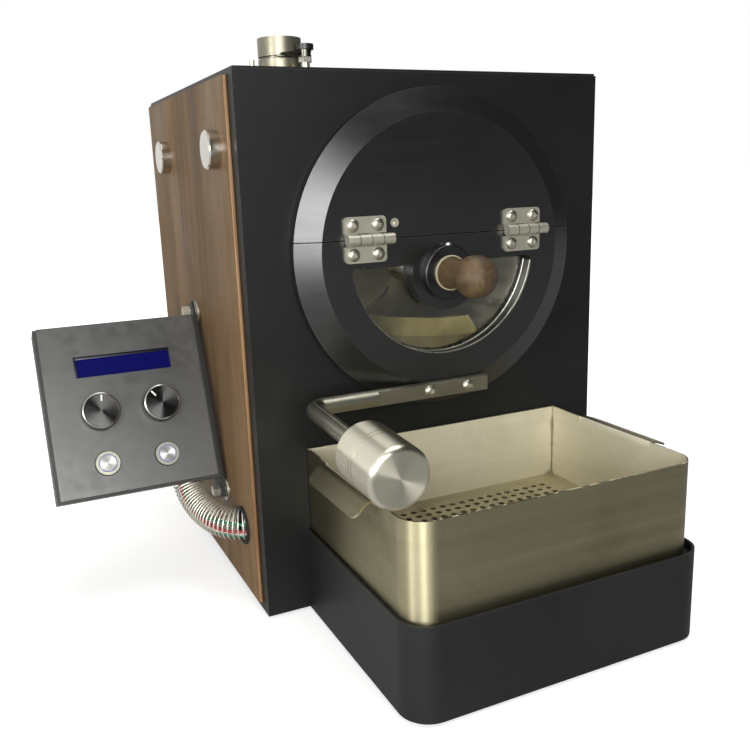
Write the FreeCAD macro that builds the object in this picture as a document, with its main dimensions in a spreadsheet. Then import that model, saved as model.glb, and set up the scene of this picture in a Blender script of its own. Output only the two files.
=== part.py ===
"""Electric coffee roaster: drum cabinet, counterweighted door, cooling tray and control box.

Frame: X to the right, Y from the cabinet's front face to the rear, Z up from the bench.
The origin is on the bench, on the centre plane, under the cabinet's front face.
All lengths are millimetres, all angles degrees.
"""
import FreeCAD
import Part
import Sketcher
import math
import os
import re

Vector = FreeCAD.Vector

# The driving dimensions: alias, value, what it sizes
SIZES = [
    # Clearances
    ("run_gap", 0.05, "radial clearance of a shaft or pin that turns or slides"),
    ("side_gap", 0.3, "clearance between pieces that pass each other"),
    ("cut_over", 1, "overrun of every cut past the metal"),
    # Cabinet
    ("cabinet_width", 262, "outside width of the cabinet"),
    ("cabinet_depth", 242, "front face to rear face"),
    ("cabinet_height", 350, "bench to the top of the cover"),
    ("sheet_wall", 1.5, "steel sheet of the cabinet"),
    ("cover_inset", 0.8, "how far the top cover stays inside the shell"),
    ("foot_height", 2, "rubber pads under the cabinet and base"),
    ("foot_radius", 10, "rubber pads"),
    ("foot_inset", 22, "pad centre from the edges it stands near"),
    ("duct_width", 150, "air opening between base and cabinet"),
    ("duct_bottom", 8, "foot of the air opening over the bench"),
    ("duct_height", 36, "air opening"),
    ("vent_length", 60, "rear vent slots"),
    ("vent_width", 4, "rear vent slots"),
    ("vent_pitch", 12, "rear vent slots"),
    ("vent_rows", 6, "rear vent slots"),
    ("vent_low", 230, "lowest rear vent slot over the bench"),
    # Wooden side panels
    ("panel_thick", 2.5, "veneered panel"),
    ("panel_front", 12, "black return in front of the panel"),
    ("panel_rear", 5, "panel edge to the rear face"),
    ("panel_foot", 7, "panel bottom over the bench"),
    ("panel_head", 3.5, "panel top under the cabinet top"),
    ("cap_radius", 12, "stainless panel caps"),
    ("cap_thick", 7.5, "stainless panel caps"),
    ("cap_stem", 3, "radius of the stem behind a cap"),
    ("cap_edge", 0.8, "broken edge of a cap"),
    ("cap_drop", 45.3, "caps below the cabinet top"),
    ("cap_front", 36, "front caps behind the front face"),
    ("cap_rear", 64.5, "rear caps in front of the rear face"),
    ("cap_low", 45, "lower caps over the bench, right side"),
    # Drum front disc and door
    ("disc_height", 237, "drum axis over the bench"),
    ("disc_radius", 102.6, "front disc"),
    ("disc_rim", 8, "straight rim of the disc"),
    ("disc_thick", 15, "face of the disc in front of the cabinet"),
    ("disc_face", 87, "radius of the flat face inside the bevel"),
    ("split_rise", 10.5, "split line over the drum axis"),
    ("split_gap", 0.3, "half of the gap along the split"),
    ("door_gap", 0.5, "door back to the cabinet front"),
    ("window_radius", 68, "window cut-out"),
    ("window_drop", 7, "window top edge below the drum axis"),
    ("window_corner", 4, "rounded upper corners of the window"),
    ("tongue_radius", 25, "round tongue that carries the sampler boss"),
    ("glass_radius", 73, "window glass"),
    ("glass_drop", 2, "glass top edge below the drum axis"),
    ("glass_thick", 4, "window glass"),
    ("glass_ring", 1.2, "steel ring behind the glass"),
    ("ring_land", 5, "how far the ring reaches past the glass edge"),
    ("ring_lip", 7, "how far the ring covers the glass"),
    ("throat_radius", 70, "discharge opening behind the door"),
    ("throat_rise", 6, "top of the opening over the drum axis"),
    # Hinges
    ("hinge_spread", 58, "hinge centres from the centre plane"),
    ("hinge_width", 28.5, "leaf width"),
    ("hinge_reach", 14.2, "leaf edge from the pin"),
    ("leaf_thick", 2, "hinge leaf"),
    ("leaf_corner", 2.6, "rounded leaf corners"),
    ("knuckle_radius", 3.6, "hinge barrel"),
    ("knuckle_width", 7.7, "one of four knuckles"),
    ("knuckle_start", 0.8, "first knuckle from the leaf edge"),
    ("hinge_pin", 1.6, "pin radius"),
    ("screw_across", 8.5, "hinge screws from the leaf centre"),
    ("screw_rise", 9, "hinge screws from the pin"),
    ("screw_head", 4, "domed head radius"),
    ("screw_crown", 2, "radius of the flat on a domed head"),
    ("head_height", 1.9, "domed head"),
    ("screw_shank", 1.6, "shank radius"),
    ("screw_depth", 6, "shank in the metal below"),
    ("plug_across", 37, "socket screw from the centre plane"),
    ("plug_rise", 19.8, "socket screw over the drum axis"),
    ("plug_radius", 2.8, "socket screw"),
    ("plug_proud", 0.6, "socket screw over the disc face"),
    ("socket_radius", 1.5, "hexagon socket"),
    # Counterweighted lever
    ("lever_drop", 91, "lever axis below the drum axis"),
    ("lever_radius", 5.4, "lever rod"),
    ("lever_flat", 2.7, "milled flats from the rod axis"),
    ("lever_right", 28, "right end of the lever from the centre plane"),
    ("flat_left", 54.9, "left end of the flats from the centre plane"),
    ("lever_left", 100, "axis of the forward leg from the centre plane"),
    ("lever_bend", 8, "bend radius of the rod"),
    ("lever_tilt", 3.5, "fall of the forward leg"),
    ("lever_screw_left", 16.3, "left lever screw from the centre plane"),
    ("lever_screw_right", 12.6, "right lever screw from the centre plane"),
    ("land_margin", 5, "door land past the lever screws"),
    ("weight_back", 80, "weight's back face from the lever axis"),
    ("weight_length", 43, "weight"),
    ("weight_radius", 17.6, "weight"),
    ("weight_round", 3.2, "rounded front edge of the weight"),
    ("weight_chamfer", 0.8, "broken rear edge of the weight"),
    ("weight_bore", 24, "rod end inside the weight"),
    ("groove_depth", 0.4, "turned grooves in the weight"),
    ("groove_width", 0.7, "turned grooves in the weight"),
    ("groove_first", 17, "first groove from the back face"),
    ("groove_step", 3.4, "between the two grooves"),
    # Sampler
    ("sampler_drop", 14, "sampler axis below the drum axis"),
    ("boss_radius", 18, "boss on the door"),
    ("boss_proud", 5, "boss in front of the disc face"),
    ("boss_round", 1.2, "rounded boss edge"),
    ("sleeve_radius", 14, "boss sleeve through door and glass"),
    ("tube_radius", 11, "sampler tube"),
    ("tube_wall", 1, "sampler tube"),
    ("tube_reach", 50, "tube tip behind the cabinet front"),
    ("tip_length", 12, "closed tip of the tube"),
    ("scoop_start", 8, "scoop opening behind the cabinet front"),
    ("ferrule_thick", 1.4, "bright ring at the handle"),
    ("ferrule_radius", 11.4, "bright ring at the handle"),
    ("tang_radius", 4, "tang inside the handle"),
    ("tang_length", 18, "tang inside the handle"),
    ("neck_radius", 10.6, "handle neck"),
    ("neck_sweep", 62, "hollow of the handle neck"),
    ("ball_radius", 13.5, "handle ball"),
    ("ball_reach", 50.7, "ball centre in front of the cabinet"),
    ("waist_angle", 45, "where the neck meets the ball"),
    # Drum
    ("drum_radius", 75, "inside of the drum"),
    ("drum_wall", 1.2, "drum sheet"),
    ("drum_bead", 2.3, "rolled front rim of the drum"),
    ("drum_front", 5, "drum rim behind the cabinet front"),
    ("drive_room", 92, "drum back to the rear face of the cabinet"),
    ("drum_plate", 3, "rear plate of the drum"),
    ("plate_hole", 12, "air holes in the rear plate"),
    ("plate_hole_ring", 48, "air holes from the axis"),
    ("plate_holes", 6, "air holes"),
    ("flight_count", 3, "lifting flights on the wall"),
    ("flight_height", 15, "lifting flights"),
    ("flight_thick", 1.6, "lifting flights"),
    ("flight_start", 15, "flights behind the cabinet front"),
    ("flight_angle", -56.5, "first flight at its front end"),
    ("flight_twist", -0.305, "turn of a flight for each millimetre"),
    ("vane_thick", 1.6, "stirring vanes"),
    ("vane_root_angle", -74, "vane at the hub"),
    ("vane_tip_angle", -137, "vane at the drum wall"),
    ("vane_radius", 62, "curve of a vane"),
    ("hub_radius", 12, "drum hub"),
    ("hub_front", 62, "hub and vanes behind the cabinet front"),
    ("nut_radius", 13.5, "nut on the shaft, over its corners"),
    ("nut_length", 6, "nut on the shaft"),
    ("shaft_radius", 8, "drum shaft"),
    # Drum housing
    ("housing_radius", 95, "outside of the drum housing"),
    ("housing_gap", 6, "drum back to the rear plate"),
    ("shaft_tail", 36, "shaft past the front of the rear plate"),
    ("saddle_width", 120, "sheet saddles under the housing"),
    ("saddle_thick", 2, "sheet saddles"),
    ("saddle_front", 40, "front saddle"),
    ("saddle_back", 28, "rear saddle to the rear plate"),
    ("bearing_radius", 17, "bearing housing"),
    ("bearing_length", 20, "bearing housing"),
    ("bearing_flange", 26, "bearing flange radius"),
    ("flange_thick", 5, "bearing flange"),
    ("coupling_radius", 14, "shaft coupling"),
    ("coupling_length", 22, "shaft coupling"),
    ("motor_radius", 30, "gear motor"),
    ("motor_length", 30, "gear motor"),
    ("motor_round", 2, "rounded edges of the motor"),
    ("motor_shaft", 4, "motor shaft radius"),
    ("mount_plate", 2, "motor plate"),
    ("mount_reach", 42, "motor plate from the axis"),
    ("mount_post", 4, "post radius"),
    ("mount_post_ring", 34, "posts from the axis, each way"),
    ("heater_radius", 4, "sheathed heating rods"),
    ("heater_ring", 86, "heating rods from the drum axis"),
    ("heater_count", 5, "heating rods"),
    ("heater_angle", 25, "angle between heating rods"),
    ("heater_front", 12, "heating rods behind the cabinet front"),
    ("heater_tail", 10, "heating rods past the rear plate"),
    ("terminal_radius", 5.5, "ceramic ends of the heating rods"),
    ("terminal_length", 8, "ceramic ends of the heating rods"),
    # Exhaust
    ("pipe_left", 56, "pipe axis from the centre plane"),
    ("pipe_back", 28, "pipe axis to the rear plate of the housing"),
    ("pipe_radius", 16, "exhaust pipe"),
    ("pipe_wall", 1, "exhaust pipe"),
    ("collar_radius", 29, "flange on the top cover"),
    ("collar_thick", 2, "flange on the top cover"),
    ("slit_rise", 21.7, "damper over the top cover"),
    ("mouth_rise", 13.8, "pipe mouth over the damper"),
    ("damper_thick", 1.2, "damper plate"),
    ("slit_gap", 0.25, "damper plate to the slit, each side"),
    ("pivot_distance", 22.6, "damper bolt from the pipe axis"),
    ("pivot_angle", -56, "damper bolt round the pipe axis"),
    ("pivot_radius", 2.5, "damper bolt"),
    ("post_radius", 3.2, "posts on the flange"),
    ("pivot_rise", 6.6, "bolt end over the damper"),
    ("ear_radius", 4.6, "damper ear round the bolt"),
    ("ear_rise", 1.8, "upper ear over the plate"),
    ("arm_width", 4.5, "sloping arm of the damper"),
    ("arm_thick", 1.8, "sloping arm of the damper"),
    ("tab_angle", -108, "front tab round the pipe axis"),
    ("tab_distance", 21.5, "front tab from the pipe axis"),
    ("knob_radius", 6.4, "damper knob"),
    ("knob_height", 3.8, "damper knob"),
    ("damper_nut", 5, "nut under the damper, over its corners"),
    ("nut_height", 3.6, "nut under the damper"),
    ("stub_angle", 175, "short post round the pipe axis"),
    ("stub_distance", 21, "short post from the pipe axis"),
    ("stub_drop", 1, "short post under the damper"),
    ("stub_radius", 1.8, "short post"),
    # Cooling base
    ("base_width", 203, "cooling base"),
    ("base_depth", 150.5, "cooling base in front of the cabinet"),
    ("base_height", 59, "cooling base rim over the bench"),
    ("base_corner", 18, "rounded front corners"),
    ("deck_height", 52, "fan deck underside over the bench"),
    ("deck_thick", 1.5, "fan deck"),
    ("deck_post", 4, "fan deck posts"),
    ("fan_bore", 56, "fan opening"),
    ("fan_size", 120, "fan frame"),
    ("fan_depth", 25, "fan frame"),
    ("fan_centre", 76, "fan axis in front of the cabinet"),
    ("fan_hub", 19, "fan hub"),
    ("fan_base", 5, "fixed part of the fan hub"),
    ("strut_width", 5, "fan struts"),
    ("axle_radius", 2, "fan axle"),
    ("blade_count", 7, "fan blades"),
    ("blade_tip_gap", 2, "blade tips to the frame"),
    ("blade_thick", 1.4, "fan blades"),
    ("blade_root_chord", 14, "blade at the hub"),
    ("blade_tip_chord", 26, "blade at the tip"),
    ("blade_root_pitch", 48, "blade at the hub"),
    ("blade_tip_pitch", 28, "blade at the tip"),
    # Cooling tray
    ("tray_width", 196, "cooling tray"),
    ("tray_back", 1, "tray behind wall to the cabinet front"),
    ("tray_front", 144, "tray front wall in front of the cabinet"),
    ("tray_top", 114.3, "tray rim over the bench"),
    ("tray_wall", 1.2, "tray sheet"),
    ("tray_corner", 16, "rounded front corners"),
    ("floor_height", 61, "perforated floor over the bench"),
    ("floor_thick", 1, "perforated floor"),
    ("hole_radius", 2.1, "holes of the floor"),
    ("hole_pitch", 13.4, "holes of the floor along a row"),
    ("hole_margin", 14, "plain border of the floor"),
    ("flap_start", 33.5, "flaps in front of the cabinet"),
    ("flap_length", 70, "flaps"),
    ("flap_reach", 10.5, "flaps past their bend"),
    ("flap_bend", 4.2, "outer radius of the flap bends"),
    ("flap_corner", 5.5, "rounded flap corners"),
    ("flap_left_fall", 45, "left flap below level"),
    ("flap_right_fall", 20, "right flap below level"),
    # Control box
    ("box_width", 106, "control box"),
    ("box_tall", 117, "control box along its face"),
    ("box_deep", 28, "control box"),
    ("box_wall", 1.5, "control box sheet"),
    ("box_rim", 2.2, "housing past the face plate, each side and below"),
    ("box_tilt", 21.3, "lean of the face"),
    ("box_away", 10, "box side to the cabinet side"),
    ("box_behind", 89, "face centre behind the cabinet front"),
    ("box_height", 138, "face centre over the bench"),
    ("plate_thick", 1.5, "face plate"),
    ("shadow_gap", 1.5, "groove behind the face plate"),
    ("shadow_inset", 1.6, "groove behind the face plate"),
    ("lcd_width", 64.8, "display window"),
    ("lcd_height", 14.6, "display window"),
    ("lcd_rise", 29.2, "display over the face centre"),
    ("lcd_block_width", 71.5, "display glass block"),
    ("lcd_block_height", 24.5, "display glass block"),
    ("lcd_block_deep", 8, "display glass block"),
    ("lcd_sink", 0.6, "display behind the plate"),
    ("board_side", 3.9, "circuit board to the box sheet, left and right"),
    ("board_end", 7.4, "circuit board to the box sheet, above and below"),
    ("board_thick", 1.6, "circuit board"),
    ("dial_spread", 20.3, "dials from the middle"),
    ("dial_drop", 3.5, "dials below the face centre"),
    ("dial_radius", 12.6, "dials"),
    ("dial_height", 14, "dials"),
    ("dial_skirt", 0.9, "broken front edge of a dial"),
    ("dial_bore_depth", 10, "shaft hole in a dial"),
    ("pot_radius", 8, "potentiometer"),
    ("pot_length", 7, "potentiometer"),
    ("pot_bush", 3.5, "potentiometer thread"),
    ("pot_shaft", 3, "potentiometer shaft"),
    ("button_spread", 20, "push buttons from the middle"),
    ("button_drop", 38.3, "push buttons below the face centre"),
    ("bezel_radius", 8, "button bezel"),
    ("bezel_proud", 2, "button bezel"),
    ("bezel_body", 6, "button body behind the plate"),
    ("bezel_length", 14, "button body behind the plate"),
    ("cap_ring", 5.2, "button cap radius"),
    ("cap_proud", 0.6, "button cap over its bezel"),
    ("cap_travel", 1.5, "button travel"),
    ("cap_length", 4, "button cap"),
    ("bracket_thick", 2, "bracket between box and panel"),
    ("bracket_width", 22, "bracket"),
    ("bracket_centre", 15, "bracket bolts behind the face"),
    ("bolt_above", 63.5, "upper bolt over the face centre"),
    ("bolt_below", 70, "lower bolt below the face centre"),
    ("bolt_radius", 2.5, "bracket bolts"),
    ("bolt_head", 4.6, "bolt heads, over their corners"),
    ("bolt_head_length", 5, "bolt heads"),
    ("spacer_radius", 4, "spacers on the bolts"),
    ("washer_radius", 8, "large washers"),
    ("washer_thick", 1.5, "large washers"),
    ("bolt_inside", 8, "bolt ends inside the cabinet"),
    # Wire conduit
    ("conduit_radius", 11, "spring conduit"),
    ("conduit_wall", 1.3, "spring conduit"),
    ("conduit_edge", 20, "conduit from the right edge of the box face"),
    ("conduit_y", 14.5, "conduit behind the face"),
    ("conduit_drop", 19, "first bend below the box"),
    ("conduit_mid_x", 22, "second bend outside the panel"),
    ("conduit_hole_y", 37, "hole in the panel behind the front"),
    ("conduit_hole_z", 54.5, "hole in the panel over the bench"),
    ("conduit_inside", 4, "conduit end inside the cabinet"),
    ("conduit_bend", 15, "bend radius of the conduit"),
    ("grommet_width", 2.2, "rubber grommet round the conduit"),
    ("grommet_proud", 1.6, "grommet over the panel"),
    # Mains inlet
    ("inlet_across", 84, "inlet from the centre plane"),
    ("inlet_height", 40, "inlet over the bench"),
    ("inlet_flange_width", 48, "inlet flange"),
    ("inlet_flange_height", 24, "inlet flange"),
    ("inlet_flange", 2, "inlet flange"),
    ("inlet_width", 27, "inlet body"),
    ("inlet_tall", 20, "inlet body"),
    ("inlet_deep", 18, "inlet body"),
    ("inlet_wall", 2, "inlet body"),
    ("inlet_pin", 1, "half width of the contact blades"),
    ("inlet_pin_pitch", 7, "contact blades"),
    ("inlet_pin_length", 13, "contact blades"),
]

# Places that follow from the sizes: a name and its expression
DERIVED = {
    "drum_rear": "(cabinet_depth - drive_room)",
    "housing_rear": "(drum_rear + housing_gap)",
    "shaft_rear": "(housing_rear + shaft_tail)",
    "saddle_rear": "(housing_rear - saddle_back)",
    "pipe_behind": "(housing_rear - pipe_back)",
    "slit_height": "(cabinet_height + slit_rise)",
    "pipe_top": "(slit_height + mouth_rise)",
    "pivot_top": "(slit_height + pivot_rise)",
    "stub_top": "(slit_height - stub_drop)",
    "board_width": "(box_width - 2*shadow_inset - 2*box_wall - 2*board_side)",
    "board_height": "(box_tall - 2*shadow_inset - 2*box_wall - 2*board_end)",
    "conduit_x": "(box_width/2 - conduit_edge)",
}

doc = FreeCAD.newDocument("CoffeeRoaster")
sheet = doc.addObject("Spreadsheet::Sheet", "Sizes")
sheet.Label = "Sizes"
for row, (alias, size, note) in enumerate(SIZES, 1):
    sheet.set("A%d" % row, note)
    sheet.set("B%d" % row, str(size))
    sheet.setAlias("B%d" % row, alias)
doc.recompute()
ALIASES = {alias for alias, size, note in SIZES}
NODES = {}
NEAR = 0.01

X, Y, Z = Vector(1, 0, 0), Vector(0, 1, 0), Vector(0, 0, 1)
ORIGIN = Vector(0, 0, 0)


# Sizes and bindings

def full(text):
    """Write an expression in aliases and derived places as one that names the sheet."""
    def name(match):
        word = match[0]
        return full(DERIVED[word]) if word in DERIVED else "Sizes." + word if word in ALIASES else word
    return re.sub(r"[a-z][a-z0-9_]*", name, str(text))


def val(text):
    """The number that an expression in aliases gives now."""
    return float(sheet.evalExpression(full(text)))


def bind(thing, **expressions):
    """Bind properties of an object to expressions; a double underscore stands for a dot."""
    for name, text in expressions.items():
        thing.setExpression(name.replace("__", "."), full(text))
    return thing


def place(thing, x="0", y="0", z="0", turn="0", axis=X):
    """Bind an object's place, turned about one axis through that place."""
    thing.Placement = FreeCAD.Placement(Vector(val(x), val(y), val(z)),
                                        FreeCAD.Rotation(axis, val(turn)))
    bind(thing, Placement__Base__x=x, Placement__Base__y=y, Placement__Base__z=z)
    if turn != "0":
        bind(thing, Placement__Rotation__Angle=turn)
    return thing


def node(name, thing):
    """Name a finished sub-part."""
    thing.Label = name
    NODES[name] = thing
    return thing


# Primitives and booleans

def box(x, y, z, length, width, height):
    thing = bind(doc.addObject("Part::Box", "Box"), Length=length, Width=width, Height=height)
    return place(thing, x, y, z)


def cylinder(radius, height, x="0", y="0", z="0", axis="Z"):
    """A cylinder that starts at a point and runs along X, Y or Z."""
    thing = bind(doc.addObject("Part::Cylinder", "Cylinder"), Radius=radius, Height=height)
    turn, about = {"X": ("90", Y), "Y": ("-90", X), "Z": ("0", X)}[axis]
    return place(thing, x, y, z, turn, about)


def cone(radius, top, height, x="0", y="0", z="0", axis="Z"):
    thing = bind(doc.addObject("Part::Cone", "Cone"), Radius1=radius, Radius2=top, Height=height)
    turn, about = {"X": ("90", Y), "-X": ("-90", Y), "-Y": ("90", X), "Z": ("0", X)}[axis]
    return place(thing, x, y, z, turn, about)


def prism(radius, height, x="0", y="0", z="0", axis="Z"):
    """A hexagonal prism, as a nut or bolt head."""
    thing = bind(doc.addObject("Part::Prism", "Prism"), Circumradius=radius, Height=height)
    thing.Polygon = 6
    turn, about = {"X": ("90", Y), "-X": ("-90", Y), "Y": ("-90", X), "Z": ("0", X)}[axis]
    return place(thing, x, y, z, turn, about)


def cut(base, *tools):
    for tool in tools:
        result = doc.addObject("Part::Cut", "Cut")
        result.Base, result.Tool = base, tool
        base = result
    return base


def fuse(*pieces):
    result = doc.addObject("Part::MultiFuse", "Fuse")
    result.Shapes = list(pieces)
    return result


def group(*pieces):
    """Separate solids that share one node."""
    result = doc.addObject("Part::Compound", "Group")
    result.Links = list(pieces)
    return result


def feature(shape, name="Feature"):
    result = doc.addObject("Part::Feature", name)
    result.Shape = shape
    return result


# Sketched bodies

def new_body(name="Body"):
    return doc.addObject("PartDesign::Body", name)


def sketch(body, role, depth="0"):
    """A sketch on one of the body's own planes, shifted along that plane's normal."""
    plane = [item for item in body.Origin.OriginFeatures if item.Role == role][0]
    result = body.newObject("Sketcher::SketchObject", "Sketch")
    result.AttachmentSupport = [(plane, "")]
    result.MapMode = "FlatFace"
    if depth != "0":
        bind(result, AttachmentOffset__Base__z=depth)
    return result


def pin_point(sk, index, position, u, v):
    """Hold a point of the sketch at two bound distances from its origin."""
    for kind, text in (("DistanceX", u), ("DistanceY", v)):
        number = sk.addConstraint(Sketcher.Constraint(kind, -1, 1, index, position, val(text)))
        if any(alias in ALIASES for alias in re.findall(r"[a-z][a-z0-9_]*", text)):
            sk.setExpression("Constraints[%d]" % number, full(text))


def arc_centre(a, b, radius, way):
    """Centre of the arc from a to b: ccw or cw, and big when it is over half a turn."""
    across = math.hypot(b[0] - a[0], b[1] - a[1])
    rise = math.sqrt(max(radius * radius - across * across / 4, 0))
    left = -1 if ("cw" in way.split()) != ("big" in way.split()) else 1
    return ((a[0] + b[0]) / 2 - left * rise * (b[1] - a[1]) / across,
            (a[1] + b[1]) / 2 + left * rise * (b[0] - a[0]) / across)


def closed(sk, *corners):
    """A closed outline; a corner with a radius and a way starts an arc to the next corner."""
    places = [(val(corner[0]), val(corner[1])) for corner in corners]
    ends = []
    for index, corner in enumerate(corners):
        a, b = places[index], places[(index + 1) % len(corners)]
        if len(corner) == 2:
            edge = sk.addGeometry(Part.LineSegment(Vector(*a, 0), Vector(*b, 0)), False)
            ends.append((edge, 1, 2))
            continue
        radius, way = val(corner[2]), corner[3]
        centre = arc_centre(a, b, radius, way)
        first, last = (b, a) if "cw" in way.split() else (a, b)
        start = math.atan2(first[1] - centre[1], first[0] - centre[0])
        stop = math.atan2(last[1] - centre[1], last[0] - centre[0])
        if stop < start:
            stop += 2 * math.pi
        circle = Part.Circle(Vector(*centre, 0), Z, radius)
        edge = sk.addGeometry(Part.ArcOfCircle(circle, start, stop), False)
        ends.append((edge, 2, 1) if "cw" in way.split() else (edge, 1, 2))
    for index, (edge, start, stop) in enumerate(ends):
        following = ends[(index + 1) % len(ends)]
        sk.addConstraint(Sketcher.Constraint("Coincident", edge, stop, following[0], following[1]))
    for (edge, start, stop), corner in zip(ends, corners):
        pin_point(sk, edge, start, corner[0], corner[1])
        if len(corner) > 2:
            number = sk.addConstraint(Sketcher.Constraint("Radius", edge, val(corner[2])))
            sk.setExpression("Constraints[%d]" % number, full(corner[2]))
    return sk


def rectangle(sk, left, bottom, right, top):
    return closed(sk, (left, bottom), (right, bottom), (right, top), (left, top))


def circle(sk, radius, u="0", v="0"):
    index = sk.addGeometry(Part.Circle(Vector(val(u), val(v), 0), Z, val(radius)), False)
    number = sk.addConstraint(Sketcher.Constraint("Radius", index, val(radius)))
    sk.setExpression("Constraints[%d]" % number, full(radius))
    pin_point(sk, index, 3, u, v)
    return sk


def pad(body, sk, length, back=False, both=False):
    result = bind(body.newObject("PartDesign::Pad", "Pad"), Length=length)
    result.Profile, result.Reversed, result.Midplane = sk, back, both
    doc.recompute()
    return result


def pocket(body, sk, length=None, back=False):
    """Cut a sketch into the body: to a depth, or right through both ways."""
    before = body.Shape.Volume
    result = body.newObject("PartDesign::Pocket", "Pocket")
    result.Profile = sk
    if length is None:
        result.Type, result.Midplane = "ThroughAll", True
    else:
        bind(result, Length=length)
        result.Reversed = back
    doc.recompute()
    if body.Shape.Volume >= before:
        raise RuntimeError("a pocket cuts nothing in " + body.Label)
    return result


def revolve(body, sk, axis="H_Axis"):
    result = body.newObject("PartDesign::Revolution", "Revolution")
    result.Profile = sk
    result.ReferenceAxis = (sk, [axis])
    result.Angle = 360
    doc.recompute()
    return result


def round_edges(body, radius, chosen):
    """Fillet the edges whose middle point passes a test."""
    names = ["Edge%d" % number for number, edge in enumerate(body.Tip.Shape.Edges, 1)
             if chosen(edge, edge.valueAt((edge.FirstParameter + edge.LastParameter) / 2))]
    if not names:
        raise RuntimeError("no edge to round in " + body.Label)
    result = bind(body.newObject("PartDesign::Fillet", "Fillet"), Radius=radius)
    result.Base = (body.Tip if body.Tip is not result else result.BaseFeature, names)
    doc.recompute()
    return result


def tube(outer, inner, length, x="0", y="0", z="0", axis="Z"):
    """A plain tube or washer."""
    result = cut(cylinder(outer, length, x, y, z, axis), cylinder(inner, length, x, y, z, axis))
    return result


def half_moon(sk, radius, drop, tongue=None, tongue_drop=None):
    """Lower part of a disc under a level chord, with an optional round tongue from the chord."""
    reach = "sqrt((%s)^2 - (%s)^2)" % (radius, drop)
    way = "ccw big" if val(drop) < 0 else "ccw"
    corners = [("-" + reach, "-(%s)" % drop, radius, way), (reach, "-(%s)" % drop)]
    if tongue:
        side = "sqrt((%s)^2 - (%s - (%s))^2)" % (tongue, tongue_drop, drop)
        corners += [(side, "-(%s)" % drop, tongue, "cw big"), ("-" + side, "-(%s)" % drop)]
    return closed(sk, *corners)


# Cabinet: one bent sheet makes the front and both sides
HALF = "cabinet_width/2"
shell = new_body("Shell")
pad(shell, closed(sketch(shell, "XY_Plane", "foot_height"),
                  ("-" + HALF, "0"), (HALF, "0"), (HALF, "cabinet_depth - sheet_wall"),
                  (HALF + " - sheet_wall", "cabinet_depth - sheet_wall"),
                  (HALF + " - sheet_wall", "sheet_wall"), ("-(%s - sheet_wall)" % HALF, "sheet_wall"),
                  ("-(%s - sheet_wall)" % HALF, "cabinet_depth - sheet_wall"),
                  ("-" + HALF, "cabinet_depth - sheet_wall")),
    "cabinet_height - sheet_wall - foot_height")
throat = sketch(shell, "XZ_Plane")
REACH = "sqrt(throat_radius^2 - throat_rise^2)"
closed(throat, ("-" + REACH, "disc_height + throat_rise", "throat_radius", "ccw big"),
       (REACH, "disc_height + throat_rise"))
pocket(shell, throat, "sheet_wall")
duct = sketch(shell, "XZ_Plane")
rectangle(duct, "-duct_width/2", "duct_bottom", "duct_width/2", "duct_bottom + duct_height")
pocket(shell, duct, "sheet_wall")

# Where the bracket bolts and the conduit pass the side
def panel_y(behind, up):
    """Distance behind the cabinet front of a point given in the control box's own frame."""
    return "(box_behind + (%s)*cos(box_tilt) + (%s)*sin(box_tilt))" % (behind, up)


def panel_z(behind, up):
    """Height over the bench of a point given in the control box's own frame."""
    return "(box_height - (%s)*sin(box_tilt) + (%s)*cos(box_tilt))" % (behind, up)


UPPER_BOLT = (panel_y("bracket_centre", "bolt_above"), panel_z("bracket_centre", "bolt_above"))
LOWER_BOLT = (panel_y("bracket_centre", "-bolt_below"), panel_z("bracket_centre", "-bolt_below"))
SIDE = HALF + " + panel_thick"


def side_holes(inner, outer, caps, left):
    """Cutters through one side for the stems of the caps and, on the left, bolts and conduit."""
    start = "-(%s)" % outer if left else inner
    length = "(%s) - (%s)" % (outer, inner)
    cutters = [cylinder("cap_stem", length, start, y, z, "X") for y, z in caps]
    if left:
        cutters += [cylinder("bolt_radius", length, start, y, z, "X") for y, z in (UPPER_BOLT, LOWER_BOLT)]
        cutters += [cylinder("conduit_radius + grommet_width", length, start,
                             "conduit_hole_y", "conduit_hole_z", "X")]
    return cutters


CAP_Z = "cabinet_height - cap_drop"
CAP_BACK = "(cabinet_depth - cap_rear)"
UPPER_CAPS = [("cap_front", CAP_Z), (CAP_BACK, CAP_Z)]
RIGHT_CAPS = UPPER_CAPS + [("cap_front", "cap_low"), (CAP_BACK, "cap_low")]
node("cabinet_shell", cut(shell, *side_holes(HALF + " - sheet_wall - cut_over", HALF + " + cut_over",
                                             UPPER_CAPS, True)))

cover = new_body("Cover")
pad(cover, rectangle(sketch(cover, "XY_Plane", "cabinet_height - sheet_wall"),
                     "-(%s - cover_inset)" % HALF, "cover_inset", HALF + " - cover_inset",
                     "cabinet_depth"), "sheet_wall")
pocket(cover, circle(sketch(cover, "XY_Plane", "cabinet_height"), "pipe_radius + side_gap",
                     "-pipe_left", "pipe_behind"))
node("top_cover", cover)

node("bottom_plate", box("-(%s - sheet_wall)" % HALF, "sheet_wall", "foot_height",
                         "cabinet_width - 2*sheet_wall", "cabinet_depth - 2*sheet_wall", "sheet_wall"))

rear = new_body("Rear")
pad(rear, rectangle(sketch(rear, "XZ_Plane", "-cabinet_depth"), "-" + HALF, "foot_height", HALF,
                    "cabinet_height - sheet_wall"), "sheet_wall")
vent = sketch(rear, "XZ_Plane", "-cabinet_depth")
rectangle(vent, "-vent_length/2", "vent_low", "vent_length/2", "vent_low + vent_width")
first_vent = pocket(rear, vent, "sheet_wall + cut_over", back=True)
vents = rear.newObject("PartDesign::LinearPattern", "Vents")
vents.Originals = [first_vent]
vents.Direction = (vent, ["V_Axis"])
vents.Occurrences = int(val("vent_rows"))
bind(vents, Length="vent_pitch*(vent_rows - 1)")
rear.Tip = vents
doc.recompute()
inlet_hole = sketch(rear, "XZ_Plane", "-cabinet_depth")
rectangle(inlet_hole, "inlet_across - inlet_width/2", "inlet_height - inlet_tall/2",
          "inlet_across + inlet_width/2", "inlet_height + inlet_tall/2")
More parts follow.
